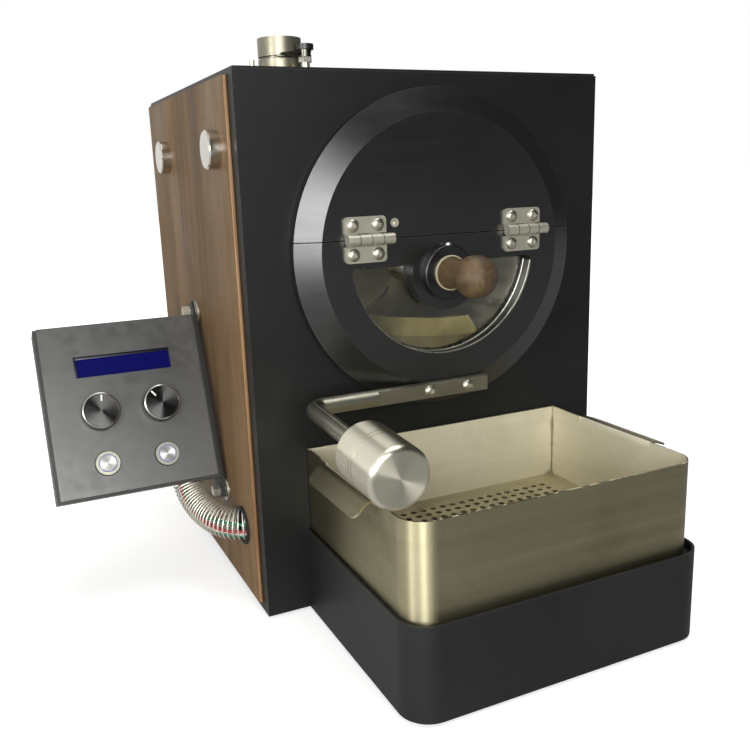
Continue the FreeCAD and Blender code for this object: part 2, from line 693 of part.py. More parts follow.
pocket(rear, inlet_hole, "sheet_wall + cut_over", back=True)
node("rear_panel", rear)

# Wooden side panels on stainless caps
cap_pieces = []
for side, caps in (("left", UPPER_CAPS), ("right", RIGHT_CAPS)):
    board = box("-(%s)" % SIDE if side == "left" else HALF, "panel_front", "panel_foot", "panel_thick",
                "cabinet_depth - panel_front - panel_rear", "cabinet_height - panel_head - panel_foot")
    node("wood_panel_" + side, cut(board, *side_holes(HALF, SIDE, caps, side == "left")))
    for y, z in caps:
        cap = new_body("Cap")
        profile = closed(sketch(cap, "YZ_Plane"), ("0", "0"), ("cap_radius", "0"),
                         ("cap_radius", "cap_thick - cap_edge"), ("cap_radius - cap_edge", "cap_thick"),
                         ("0", "cap_thick"))
        revolve(cap, profile, "V_Axis")
        turn = "-90" if side == "left" else "90"
        place(cap, "-(%s)" % SIDE if side == "left" else SIDE, y, z, turn, Y)
        stem = cylinder("cap_stem", "panel_thick", "-(%s)" % SIDE if side == "left" else HALF, y, z, "X")
        cap_pieces.append(fuse(cap, stem))
node("panel_caps", group(*cap_pieces))

# Front disc: a bevelled plate split along a level line into fixed cover and door
AXIS = "disc_height"
SPLIT = "split_rise"


def disc(back):
    """The whole bevelled disc, with its back face a gap in front of the cabinet."""
    body = new_body("Disc")
    profile = closed(sketch(body, "YZ_Plane"), ("-(%s)" % back, "0"), ("-(%s)" % back, "disc_radius"),
                     ("-disc_rim", "disc_radius"), ("-disc_thick", "disc_face"), ("-disc_thick", "0"))
    revolve(body, profile)
    place(body, z=AXIS)
    return body


def hinge_centres():
    return ["-hinge_spread", "hinge_spread"]


def screw_places(rise):
    """Centres of the hinge screws on one side of the pin."""
    height = "(%s + %s + (%s))" % (AXIS, SPLIT, rise)
    return [("(%s) + %s" % (centre, across), height)
            for centre in hinge_centres() for across in ("-screw_across", "screw_across")]


def dome_screws(places, seat, depth):
    """Domed screws along Y with their heads on a face in front of the cabinet."""
    pieces = []
    for x, z in places:
        head = cone("screw_head", "screw_crown", "head_height", x, "-(%s)" % seat, z, "-Y")
        shank = cylinder("screw_shank", depth, x, "-(%s)" % seat, z, "Y")
        pieces.append(fuse(head, shank))
    return pieces


def screw_holes(places, seat, depth):
    return [cylinder("screw_shank", depth, x, "-(%s)" % seat, z, "Y") for x, z in places]


LEAF_FACE = "(disc_thick + leaf_thick)"
SHANK = "leaf_thick + screw_depth"
UPPER_SCREWS, LOWER_SCREWS = screw_places("screw_rise"), screw_places("-screw_rise")

upper = disc("0")
keep_up = sketch(upper, "XZ_Plane")
rectangle(keep_up, "-(disc_radius + cut_over)", "-(disc_radius + cut_over)",
          "disc_radius + cut_over", SPLIT + " + split_gap")
pocket(upper, keep_up)
plug_hole = cylinder("plug_radius", "screw_depth", "-plug_across", "-disc_thick", AXIS + " + plug_rise", "Y")
node("upper_disc", cut(upper, *screw_holes(UPPER_SCREWS, LEAF_FACE, SHANK), plug_hole))

door = disc("door_gap")
keep_down = sketch(door, "XZ_Plane")
rectangle(keep_down, "-(disc_radius + cut_over)", SPLIT + " - split_gap",
          "disc_radius + cut_over", "disc_radius + cut_over")
pocket(door, keep_down)
window = sketch(door, "XZ_Plane")
half_moon(window, "window_radius", "window_drop", "tongue_radius", "sampler_drop")
pocket(door, window)
WINDOW_CORNER = Vector(val("sqrt(window_radius^2 - window_drop^2)"), 0, -val("window_drop"))
round_edges(door, "window_corner", lambda edge, middle: edge.Curve.TypeId == "Part::GeomLine"
            and abs(edge.tangentAt(edge.FirstParameter).y) > 1 - NEAR
            and Vector(abs(middle.x), 0, middle.z).distanceToPoint(WINDOW_CORNER) < val("cut_over"))
GLASS_BACK = "(door_gap + glass_ring)"
glass_seat = sketch(door, "XZ_Plane")
half_moon(glass_seat, "glass_radius", "glass_drop")
pocket(door, glass_seat, GLASS_BACK + " + glass_thick", back=True)
RING_RADIUS = "(glass_radius + ring_land)"
ring_seat = sketch(door, "XZ_Plane")
half_moon(ring_seat, RING_RADIUS, "-(ring_land - glass_drop)")
pocket(door, ring_seat, GLASS_BACK, back=True)
LEVER_Z = AXIS + " - lever_drop"
LEVER_SCREWS = [("-lever_screw_left", LEVER_Z), ("lever_screw_right", LEVER_Z)]
land = box("-(lever_screw_left + land_margin)", "-disc_thick", LEVER_Z + " - lever_radius",
           "lever_screw_left + lever_screw_right + 2*land_margin", "disc_thick - disc_rim",
           "2*lever_radius")
SAMPLER_Z = AXIS + " - sampler_drop"
LEVER_FRONT = "(disc_thick + 2*lever_flat)"
LEVER_SHANK = "2*lever_flat + screw_depth"
node("discharge_door", cut(fuse(door, land),
                           cylinder("sleeve_radius", "disc_thick", "0", "-disc_thick", SAMPLER_Z, "Y"),
                           *screw_holes(LOWER_SCREWS, LEAF_FACE, SHANK),
                           *screw_holes(LEVER_SCREWS, LEVER_FRONT, LEVER_SHANK)))

glass = new_body("Glass")
pad(glass, half_moon(sketch(glass, "XZ_Plane"), "glass_radius - side_gap", "glass_drop + side_gap"),
    "glass_thick")
pocket(glass, circle(sketch(glass, "XZ_Plane"), "sleeve_radius", "0", "-sampler_drop"))
node("door_glass", place(glass, y="-" + GLASS_BACK, z=AXIS))

ring = new_body("Ring")
pad(ring, half_moon(sketch(ring, "XZ_Plane"), RING_RADIUS + " - side_gap",
                    "-(ring_land - glass_drop - side_gap)"), "glass_ring")
opening = sketch(ring, "XZ_Plane")
half_moon(opening, "glass_radius - ring_lip", "glass_drop + ring_lip", "tongue_radius", "sampler_drop")
pocket(ring, opening)
pocket(ring, circle(sketch(ring, "XZ_Plane"), "sleeve_radius", "0", "-sampler_drop"))
node("glass_ring", place(ring, y="-door_gap", z=AXIS))

# Hinges: leaves with rounded corners, interleaved knuckles on fixed pins
PIN_Z = "(%s + %s)" % (AXIS, SPLIT)
PIN_Y = "-(disc_thick + knuckle_radius + side_gap/2)"
CLEAR = "(knuckle_radius + side_gap)"


def knuckle_left(centre, index):
    """Left end of a knuckle."""
    return "(%s) - hinge_width/2 + knuckle_start + %d*(knuckle_width + side_gap)" % (centre, index)


def leaf(centre, up, own):
    """One leaf with its knuckles: up is 1 for the fixed leaf and -1 for the door's."""
    body = new_body("Leaf")
    outline = sketch(body, "XZ_Plane")
    low, high = (CLEAR, "hinge_reach") if up > 0 else ("-hinge_reach", "-" + CLEAR)
    rectangle(outline, "-hinge_width/2", low, "hinge_width/2", high)
    pad(body, outline, "leaf_thick")
    outer = val("hinge_reach") * up
    round_edges(body, "leaf_corner", lambda edge, middle:
                abs(edge.tangentAt(edge.FirstParameter).y) > 1 - NEAR
                and abs(middle.z - outer) < val("leaf_corner"))
    place(body, centre, "-disc_thick", PIN_Z)
    pieces = [body]
    for index in own:
        left = knuckle_left(centre, index)
        pieces.append(cylinder("knuckle_radius", "knuckle_width", left, PIN_Y, PIN_Z, "X"))
        width = "min(knuckle_width; (%s) + hinge_width/2 - (%s))" % (centre, left)
        foot = PIN_Z if up > 0 else "%s - knuckle_radius - side_gap" % PIN_Z
        pieces.append(box(left, "-(disc_thick + leaf_thick)", foot, width, "leaf_thick - side_gap/2", CLEAR))
    bore = "hinge_pin" if up > 0 else "hinge_pin + run_gap"
    long_bore = cylinder(bore, "hinge_width + knuckle_width", "(%s) - hinge_width/2 - cut_over" % centre,
                         PIN_Y, PIN_Z, "X")
    return cut(fuse(*pieces), long_bore)


upper_leaves = [leaf(centre, 1, (0, 2)) for centre in hinge_centres()]
lower_leaves = [leaf(centre, -1, (1, 3)) for centre in hinge_centres()]
node("hinge_leaves_upper", group(*[cut(one, *screw_holes(UPPER_SCREWS[2*i:2*i + 2], LEAF_FACE, SHANK))
                                   for i, one in enumerate(upper_leaves)]))
node("hinge_leaves_lower", group(*[cut(one, *screw_holes(LOWER_SCREWS[2*i:2*i + 2], LEAF_FACE, SHANK))
                                   for i, one in enumerate(lower_leaves)]))
pins = [cylinder("hinge_pin", "4*knuckle_width + 3*side_gap", knuckle_left(centre, 0), PIN_Y, PIN_Z, "X")
        for centre in hinge_centres()]
plug = cut(cylinder("plug_radius", "screw_depth + plug_proud", "-plug_across",
                    "-(disc_thick + plug_proud)", AXIS + " + plug_rise", "Y"),
           prism("socket_radius", "screw_depth/2", "-plug_across", "-(disc_thick + plug_proud)",
                 AXIS + " + plug_rise", "Y"))
node("pins_and_screws", group(*pins, *dome_screws(UPPER_SCREWS, LEAF_FACE, SHANK), plug))
node("door_screws", group(*dome_screws(LOWER_SCREWS, LEAF_FACE, SHANK),
                          *dome_screws(LEVER_SCREWS, LEVER_FRONT, LEVER_SHANK)))

# Lever: a bent round rod, milled flat where it is screwed to the door, with a turned weight
rod = new_body("Rod")
rod_path = sketch(rod, "XY_Plane")
path_points = [("lever_right", "0"), ("-(lever_left - lever_bend)", "0"),
               ("-lever_left", "-lever_bend"), ("-lever_left", "-(weight_back + weight_bore)")]
flat = [(val(u), val(v)) for u, v in path_points]
leg = rod_path.addGeometry(Part.LineSegment(Vector(*flat[0], 0), Vector(*flat[1], 0)), False)
bend = rod_path.addGeometry(Part.ArcOfCircle(Part.Circle(Vector(flat[1][0], flat[2][1], 0), Z,
                                                         val("lever_bend")), math.pi / 2, math.pi), False)
fore = rod_path.addGeometry(Part.LineSegment(Vector(*flat[2], 0), Vector(*flat[3], 0)), False)
rod_path.addConstraint(Sketcher.Constraint("Coincident", leg, 2, bend, 1))
rod_path.addConstraint(Sketcher.Constraint("Coincident", bend, 2, fore, 1))
for (edge, end), (u, v) in zip(((leg, 1), (leg, 2), (fore, 1), (fore, 2)), path_points):
    pin_point(rod_path, edge, end, u, v)
bend_size = rod_path.addConstraint(Sketcher.Constraint("Radius", bend, val("lever_bend")))
rod_path.setExpression("Constraints[%d]" % bend_size, full("lever_bend"))
rod_section = circle(sketch(rod, "YZ_Plane", "lever_right"), "lever_radius")
pipe = rod.newObject("PartDesign::AdditivePipe", "Pipe")
pipe.Profile, pipe.Spine = rod_section, rod_path
doc.recompute()
ROD_Y = "-(disc_thick + lever_flat)"
place(rod, y=ROD_Y, z=LEVER_Z, turn="lever_tilt")
FLAT_LONG = "lever_right + flat_left + cut_over"
behind_flat = box("-flat_left", "-disc_thick", LEVER_Z + " - 2*lever_radius", FLAT_LONG,
                  "2*lever_radius", "4*lever_radius")
before_flat = box("-flat_left", "-(disc_thick + 2*lever_flat + 2*lever_radius)",
                  LEVER_Z + " - 2*lever_radius", FLAT_LONG, "2*lever_radius", "4*lever_radius")
node("lever_arm", cut(rod, behind_flat, before_flat, *screw_holes(LEVER_SCREWS, LEVER_FRONT, LEVER_SHANK)))

weight = new_body("Weight")
groove_top = "weight_radius - groove_depth"
turned = [("0", "lever_radius"), ("0", "weight_radius - weight_chamfer"),
          ("-weight_chamfer", "weight_radius")]
for start in ("groove_first", "groove_first + groove_step"):
    stop = start + " + groove_width"
    turned += [("-(%s)" % start, "weight_radius"), ("-(%s)" % start, groove_top),
               ("-(%s)" % stop, groove_top), ("-(%s)" % stop, "weight_radius")]
turned += [("-(weight_length - weight_round)", "weight_radius", "weight_round", "ccw"),
           ("-weight_length", "weight_radius - weight_round"), ("-weight_length", "0"),
           ("-weight_bore", "0"), ("-weight_bore", "lever_radius")]
revolve(weight, closed(sketch(weight, "YZ_Plane"), *turned))
place(weight, "-lever_left", ROD_Y + " - weight_back*cos(lever_tilt)",
      LEVER_Z + " - weight_back*sin(lever_tilt)", "lever_tilt")
node("counterweight", weight)

# Sampler: boss on the door, sliding scoop tube and wooden handle
BOSS_FRONT = "(disc_thick + boss_proud)"
boss = new_body("Boss")
revolve(boss, closed(sketch(boss, "YZ_Plane"), ("0", "tube_radius + run_gap"), ("0", "sleeve_radius"),
                     ("-disc_thick", "sleeve_radius"), ("-disc_thick", "boss_radius"),
                     ("-(%s - boss_round)" % BOSS_FRONT, "boss_radius", "boss_round", "ccw"),
                     ("-" + BOSS_FRONT, "boss_radius - boss_round"),
                     ("-" + BOSS_FRONT, "tube_radius + run_gap")))
node("sampler_boss", place(boss, z=SAMPLER_Z))

TUBE_FRONT = "(%s + side_gap)" % BOSS_FRONT
barrel = cylinder("tube_radius", "%s + tube_reach" % TUBE_FRONT, "0", "-" + TUBE_FRONT, SAMPLER_Z, "Y")
hollow = cylinder("tube_radius - tube_wall", "tube_reach - tip_length - scoop_start + 2*tube_wall", "0",
                  "scoop_start - tube_wall", SAMPLER_Z, "Y")
mouth = box("-tube_radius", "scoop_start", SAMPLER_Z, "2*tube_radius",
            "tube_reach - tip_length - scoop_start", "tube_radius")
tang = cylinder("tang_radius", "tang_length + ferrule_thick", "0",
                "-(%s + ferrule_thick + tang_length)" % TUBE_FRONT, SAMPLER_Z, "Y")
node("sampler_tube", fuse(cut(barrel, hollow, mouth), tang))
node("sampler_ferrule", tube("ferrule_radius", "tang_radius", "ferrule_thick", "0",
                             "-(%s + ferrule_thick)" % TUBE_FRONT, SAMPLER_Z, "Y"))
HANDLE_FRONT = "(%s + ferrule_thick)" % TUBE_FRONT
WAIST_Y = "(ball_reach - ball_radius*cos(waist_angle))"
handle = new_body("Handle")
revolve(handle, closed(sketch(handle, "YZ_Plane"), ("-" + HANDLE_FRONT, "tang_radius"),
                       ("-" + HANDLE_FRONT, "neck_radius", "neck_sweep", "cw"),
                       ("-" + WAIST_Y, "ball_radius*sin(waist_angle)", "ball_radius", "ccw"),
                       ("-(ball_reach + ball_radius)", "0"),
                       ("-(%s + tang_length)" % HANDLE_FRONT, "0"),
                       ("-(%s + tang_length)" % HANDLE_FRONT, "tang_radius")))
node("sampler_handle", place(handle, z=SAMPLER_Z))

# Drum: shell with rolled rim, twisted flights, curved stirring vanes, rear plate, hub and shaft
drum = new_body("Drum")
revolve(drum, closed(sketch(drum, "YZ_Plane"), ("drum_front", "drum_radius"),
                     ("drum_front", "drum_radius + drum_bead"),
                     ("drum_front + drum_wall", "drum_radius + drum_bead"),
                     ("drum_front + drum_wall", "drum_radius + drum_wall"),
                     ("drum_rear", "drum_radius + drum_wall"), ("drum_rear", "drum_radius")))
node("drum_shell", place(drum, z=AXIS))


def flight(start_angle):
    """One lifting flight: a thin radial strip that turns about the drum axis towards the rear."""
    long = val("drum_rear - drum_plate - side_gap - flight_start")
    outer, inner, half = val("drum_radius"), val("drum_radius - flight_height"), val("flight_thick/2")
    sections = []
    step_count = 4
    for number in range(step_count + 1):
        behind = long * number / step_count
        angle = math.radians(start_angle + val("flight_twist") * behind)
        along = Vector(math.cos(angle), 0, math.sin(angle))
        across = Vector(-math.sin(angle), 0, math.cos(angle))
        base = Vector(0, val("flight_start") + behind, val(AXIS))
        seat = math.sqrt(outer * outer - half * half)
        corners = [base + along * radius + across * offset for radius, offset in
                   ((inner, -half), (seat, -half), (seat, half), (inner, half))]
        sections.append(Part.makePolygon(corners + corners[:1]))
    return Part.makeLoft(sections, True, False)


count = int(val("flight_count"))
node("drum_flights", feature(Part.makeCompound([flight(val("flight_angle") + 360 / count * number)
                                                for number in range(count)]), "Flights"))


def vane(turn):
    """One stirring vane: an arc-shaped sheet from the hub to the drum wall."""
    root, tip = math.radians(val("vane_root_angle") + turn), math.radians(val("vane_tip_angle") + turn)
    rear, front = val("drum_rear - drum_plate"), val("hub_front")
    a = (val("hub_radius") * math.cos(root), val("hub_radius") * math.sin(root))
    reach = val("drum_radius + vane_thick")
    b = (reach * math.cos(tip), reach * math.sin(tip))
    middle = arc_centre(a, b, val("vane_radius"), "cw")
    edges = []
    for radius in (val("vane_radius - vane_thick/2"), val("vane_radius + vane_thick/2")):
        start = math.atan2(b[1] - middle[1], b[0] - middle[0])
        stop = math.atan2(a[1] - middle[1], a[0] - middle[0])
        stop += 2 * math.pi if stop < start else 0
        edges.append(Part.ArcOfCircle(Part.Circle(Vector(*middle, 0), Z, radius), start, stop))
    ends = [(edges[0].StartPoint, edges[1].StartPoint), (edges[1].EndPoint, edges[0].EndPoint)]
    wire = Part.Wire(Part.__sortEdges__([edges[0].toShape(), Part.makeLine(*ends[0]),
                                         edges[1].toShape(), Part.makeLine(*ends[1])]))
    blade = Part.Face(wire).extrude(Z * (rear - front))
    blade.rotate(ORIGIN, X, 90)
    blade.translate(Vector(0, rear, val(AXIS)))
    inside = Part.makeCylinder(val("drum_radius"), rear, Vector(0, 0, val(AXIS)), Y)
    return blade.common(inside).removeSplitter()


disc_plate = new_body("Plate")
pad(disc_plate, circle(sketch(disc_plate, "XZ_Plane"), "drum_radius"), "drum_plate")
plate_air = pocket(disc_plate, circle(sketch(disc_plate, "XZ_Plane"), "plate_hole", "plate_hole_ring", "0"))
air_ring = disc_plate.newObject("PartDesign::PolarPattern", "AirHoles")
air_ring.Originals = [plate_air]
air_ring.Axis = ([item for item in disc_plate.Origin.OriginFeatures if item.Role == "Y_Axis"][0], [""])
air_ring.Angle = 360
air_ring.Occurrences = int(val("plate_holes"))
disc_plate.Tip = air_ring
doc.recompute()
place(disc_plate, y="drum_rear", z=AXIS)
hub_bar = cylinder("hub_radius", "drum_rear - hub_front", "0", "hub_front", AXIS, "Y")
vane_sheets = [feature(vane(360 / count * number), "Vane") for number in range(count)]
spider = fuse(disc_plate, hub_bar, *vane_sheets)
shaft_bore = cylinder("shaft_radius", "drum_rear", "0", "cut_over", AXIS, "Y")
node("drum_vanes", cut(spider, shaft_bore))
NUT_FRONT = "(hub_front - nut_length)"
shaft = cylinder("shaft_radius", "shaft_rear - " + NUT_FRONT, "0", NUT_FRONT, AXIS, "Y")
shaft_nut = cut(prism("nut_radius", "nut_length", "0", NUT_FRONT, AXIS, "Y"),
                cylinder("shaft_radius", "nut_length", "0", NUT_FRONT, AXIS, "Y"))
node("drum_shaft", group(shaft, shaft_nut))

# Drum housing, saddles, bearing, coupling, motor and heating rods
housing = new_body("Housing")
revolve(housing, closed(sketch(housing, "YZ_Plane"), ("sheet_wall", "throat_radius"),
                        ("sheet_wall", "housing_radius"), ("housing_rear", "housing_radius"),
                        ("housing_rear", "housing_radius - sheet_wall"),
                        ("2*sheet_wall", "housing_radius - sheet_wall"), ("2*sheet_wall", "throat_radius")))
place(housing, z=AXIS)
node("drum_housing", cut(housing, cylinder("pipe_radius - pipe_wall", "pipe_top - disc_height",
                                           "-pipe_left", "pipe_behind", AXIS)))


def around(ring_size, angle):
    """A place round the drum axis."""
    return "(%s)*cos(%s)" % (ring_size, angle), "%s + (%s)*sin(%s)" % (AXIS, ring_size, angle)


HEATERS = [around("heater_ring", "-90 + %d*heater_angle" % (number - (int(val("heater_count")) - 1) // 2))
           for number in range(int(val("heater_count")))]
rear_disc = cylinder("housing_radius", "sheet_wall", "0", "housing_rear", AXIS, "Y")
node("housing_rear", cut(rear_disc, cylinder("shaft_radius + side_gap", "sheet_wall", "0", "housing_rear",
                                             AXIS, "Y"),
                         *[cylinder("heater_radius", "sheet_wall", x, "housing_rear", z, "Y")
                           for x, z in HEATERS]))
REAR_FACE = "(housing_rear + sheet_wall)"
saddles = [cut(box("-saddle_width/2", start, "foot_height + sheet_wall", "saddle_width", "saddle_thick",
                   AXIS + " - foot_height - sheet_wall - housing_radius/2"),
               cylinder("housing_radius", "saddle_thick", "0", start, AXIS, "Y"))
           for start in ("saddle_front", "saddle_rear")]
node("housing_saddles", group(*saddles))
node("shaft_bearing", cut(fuse(cylinder("bearing_flange", "flange_thick", "0", REAR_FACE, AXIS, "Y"),
                               cylinder("bearing_radius", "bearing_length", "0", REAR_FACE, AXIS, "Y")),
                          cylinder("shaft_radius + run_gap", "bearing_length", "0", REAR_FACE, AXIS, "Y")))
COUPLING_START = "(%s + bearing_length + side_gap)" % REAR_FACE
MOTOR_PLATE = "(%s + coupling_length + side_gap)" % COUPLING_START
coupling = cut(cylinder("coupling_radius", "coupling_length", "0", COUPLING_START, AXIS, "Y"),
               cylinder("shaft_radius", "shaft_rear - " + COUPLING_START, "0", COUPLING_START, AXIS, "Y"),
               cylinder("motor_shaft", "coupling_length", "0", COUPLING_START, AXIS, "Y"))
SPINDLE_START = "(shaft_rear + side_gap)"
spindle = cylinder("motor_shaft", MOTOR_PLATE + " + mount_plate - side_gap - " + SPINDLE_START, "0",
                   SPINDLE_START, AXIS, "Y")
node("shaft_coupling", group(coupling, spindle))
posts = [cylinder("mount_post", MOTOR_PLATE + " - " + REAR_FACE, across, REAR_FACE,
                  AXIS + " + (%s)" % up, "Y")
         for across in ("-mount_post_ring", "mount_post_ring")
         for up in ("-mount_post_ring", "mount_post_ring")]
plate = box("-mount_reach", MOTOR_PLATE, AXIS + " - mount_reach", "2*mount_reach", "mount_plate",
            "2*mount_reach")
node("motor_mount", cut(fuse(plate, *posts), cylinder("motor_shaft + side_gap", "mount_plate", "0",
                                                      MOTOR_PLATE, AXIS, "Y")))
motor = new_body("Motor")
pad(motor, circle(sketch(motor, "XZ_Plane"), "motor_radius"), "motor_length")
round_edges(motor, "motor_round", lambda edge, middle: abs(middle.y + val("motor_length")) > val("cut_over")
            and edge.Curve.TypeId == "Part::GeomCircle")
place(motor, y=MOTOR_PLATE + " + mount_plate + motor_length", z=AXIS)
node("gear_motor", motor)
heaters = []
for x, z in HEATERS:
    tail = REAR_FACE + " + heater_tail"
    heaters.append(cylinder("heater_radius", tail + " - heater_front", x, "heater_front", z, "Y"))
    heaters.append(cylinder("terminal_radius", "terminal_length", x, tail, z, "Y"))
node("heating_rods", group(*heaters))

# Exhaust pipe with a swinging damper plate in a slit
PIPE = ("-pipe_left", "pipe_behind")
SLIT_LOW = "(slit_height - damper_thick/2 - slit_gap)"


def round_pipe(distance, angle):
    """A place round the pipe axis."""
    return "-pipe_left + (%s)*cos(%s)" % (distance, angle), "pipe_behind + (%s)*sin(%s)" % (distance, angle)


flue = cut(cylinder("pipe_radius", "pipe_top - disc_height", PIPE[0], PIPE[1], AXIS),
           cylinder("pipe_radius - pipe_wall", "pipe_top - disc_height", PIPE[0], PIPE[1], AXIS),
           cylinder("housing_radius", "housing_rear", "0", "0", AXIS, "Y"))
SLIT_PAST = "(arm_width/2 + side_gap)"
slit = bind(doc.addObject("Part::Box", "Slit"), Length="2*collar_radius",
            Width="collar_radius + " + SLIT_PAST, Height="damper_thick + 2*slit_gap")
place(slit, "-pipe_left + collar_radius*(sin(pivot_angle) - cos(pivot_angle))",
      "pipe_behind - collar_radius*(sin(pivot_angle) + cos(pivot_angle))", SLIT_LOW, "pivot_angle", Z)
node("exhaust_pipe", cut(flue, slit))
node("pipe_collar", tube("collar_radius", "pipe_radius", "collar_thick", PIPE[0], PIPE[1], "cabinet_height"))

PIVOT = round_pipe("pivot_distance", "pivot_angle")
TAB = round_pipe("tab_distance", "tab_angle")
STUB = round_pipe("stub_distance", "stub_angle")
PLATE_LOW = "(slit_height - damper_thick/2)"
PLATE_TOP = "(slit_height + damper_thick/2)"
blade = cylinder("pipe_radius - pipe_wall - side_gap", "damper_thick", PIPE[0], PIPE[1], PLATE_LOW)
ear = cylinder("ear_radius", "damper_thick", PIVOT[0], PIVOT[1], PLATE_LOW)
sleeve = cylinder("ear_radius - side_gap", "ear_rise", PIVOT[0], PIVOT[1], PLATE_TOP)
web = bind(doc.addObject("Part::Box", "Web"), Length="pivot_distance", Width="arm_width",
           Height="damper_thick")
place(web, "%s + arm_width/2*sin(pivot_angle)" % PIPE[0], "%s - arm_width/2*cos(pivot_angle)" % PIPE[1],
      PLATE_LOW, "pivot_angle", Z)
lug = bind(doc.addObject("Part::Box", "Lug"), Length="tab_distance", Width="arm_width", Height="damper_thick")
place(lug, "%s + arm_width/2*sin(tab_angle)" % PIPE[0], "%s - arm_width/2*cos(tab_angle)" % PIPE[1],
      PLATE_LOW, "tab_angle", Z)


def arm():
    """The sloping strip from the front tab up to the upper ear."""
    low = Vector(val(TAB[0]), val(TAB[1]), val(PLATE_TOP + " - arm_thick/2"))
    high = Vector(val(PIVOT[0]), val(PIVOT[1]), val(PLATE_TOP + " + ear_rise"))
    level = Vector(high.x - low.x, high.y - low.y, 0)
    across = level.cross(Z).normalize() * val("arm_width/2")
    up = Z * val("arm_thick")
    face = Part.Face(Part.makePolygon([low - across, low + across, low + across + up, low - across + up,
                                       low - across]))
    return face.extrude(high - low)


UPPER_EAR = "(%s + ear_rise)" % PLATE_TOP
upper_ear = cylinder("ear_radius", "arm_thick", PIVOT[0], PIVOT[1], UPPER_EAR)
damper = fuse(blade, ear, web, lug, sleeve, feature(arm(), "Arm"), upper_ear)
node("damper_plate", cut(damper, cylinder("pivot_radius + run_gap", "pivot_top - slit_height + damper_thick",
                                          PIVOT[0], PIVOT[1], PLATE_LOW)))
KNOB_LOW = "(%s + arm_thick)" % UPPER_EAR
node("damper_knob", cut(cylinder("knob_radius", "knob_height", PIVOT[0], PIVOT[1], KNOB_LOW),
                        cylinder("pivot_radius + run_gap", "pivot_top + run_gap - " + KNOB_LOW, PIVOT[0],
                                 PIVOT[1], KNOB_LOW)))
NUT_LOW = "(%s - side_gap - nut_height)" % PLATE_LOW
FLANGE_TOP = "(cabinet_height + collar_thick)"
bolt = cylinder("pivot_radius", "pivot_top - " + NUT_LOW, PIVOT[0], PIVOT[1], NUT_LOW)
bolt_nut = prism("damper_nut", "nut_height", PIVOT[0], PIVOT[1], NUT_LOW)
post = cylinder("post_radius", NUT_LOW + " - " + FLANGE_TOP, PIVOT[0], PIVOT[1], FLANGE_TOP)
stub = cylinder("stub_radius", "stub_top - " + FLANGE_TOP, STUB[0], STUB[1], FLANGE_TOP)
node("damper_bolts", group(fuse(bolt, bolt_nut, post), stub))

# Cooling base with its fan deck and axial fan
def front_rounded(sk, half, back, front, corner):
    """An outline with square rear corners and rounded front corners."""
    straight, level = "%s - (%s)" % (half, corner), "-(%s - (%s))" % (front, corner)
    return closed(sk, ("-(%s)" % half, back), ("-(%s)" % half, level, corner, "ccw"),
                  ("-(%s)" % straight, "-(%s)" % front), (straight, "-(%s)" % front, corner, "ccw"),
                  (half, level), (half, back))


base = new_body("Base")
pad(base, front_rounded(sketch(base, "XY_Plane", "foot_height"), "base_width/2", "0", "base_depth",
                        "base_corner"), "base_height - foot_height")
inside = sketch(base, "XY_Plane", "base_height")
front_rounded(inside, "base_width/2 - sheet_wall", "cut_over", "base_depth - sheet_wall",
              "base_corner - sheet_wall")
pocket(base, inside, "base_height - foot_height - sheet_wall")
node("base_housing", base)

INNER = "base_width/2 - sheet_wall - side_gap"
deck = new_body("Deck")
pad(deck, front_rounded(sketch(deck, "XY_Plane", "deck_height"), INNER, "-side_gap",
                        "base_depth - sheet_wall - side_gap", "base_corner - sheet_wall"), "deck_thick")
pocket(deck, circle(sketch(deck, "XY_Plane", "deck_height + deck_thick"), "fan_bore", "0", "-fan_centre"))
FLOOR_TOP = "(foot_height + sheet_wall)"
deck_posts = [cylinder("deck_post", "deck_height - " + FLOOR_TOP, x, y, FLOOR_TOP)
              for x in ("-(%s - base_corner/2)" % INNER, "%s - base_corner/2" % INNER)
              for y in ("-base_corner/2", "-(base_depth - base_corner)")]
node("fan_deck", fuse(deck, *deck_posts))

FAN_LOW = "(deck_height - fan_depth)"
frame_block = box("-fan_size/2", "-(fan_centre + fan_size/2)", FAN_LOW, "fan_size", "fan_size", "fan_depth")
fan_ring = cut(frame_block, cylinder("fan_bore", "fan_depth", "0", "-fan_centre", FAN_LOW))
motor_hub = cylinder("fan_hub", "fan_base", "0", "-fan_centre", FAN_LOW)
long_strut = box("-(fan_bore + cut_over)", "-(fan_centre + strut_width/2)", FAN_LOW,
                 "2*(fan_bore + cut_over)", "strut_width", "fan_base - sheet_wall")
cross_strut = box("-strut_width/2", "-(fan_centre + fan_bore + cut_over)", FAN_LOW, "strut_width",
                  "2*(fan_bore + cut_over)", "fan_base - sheet_wall")
axle = cylinder("axle_radius", "fan_depth/2", "0", "-fan_centre", FAN_LOW + " + fan_base")
node("cooling_fan_frame", fuse(fan_ring, motor_hub, long_strut, cross_strut, axle))

IMPELLER_LOW = "(%s + fan_base + side_gap)" % FAN_LOW
IMPELLER_TALL = "(fan_depth - fan_base - 2*side_gap)"


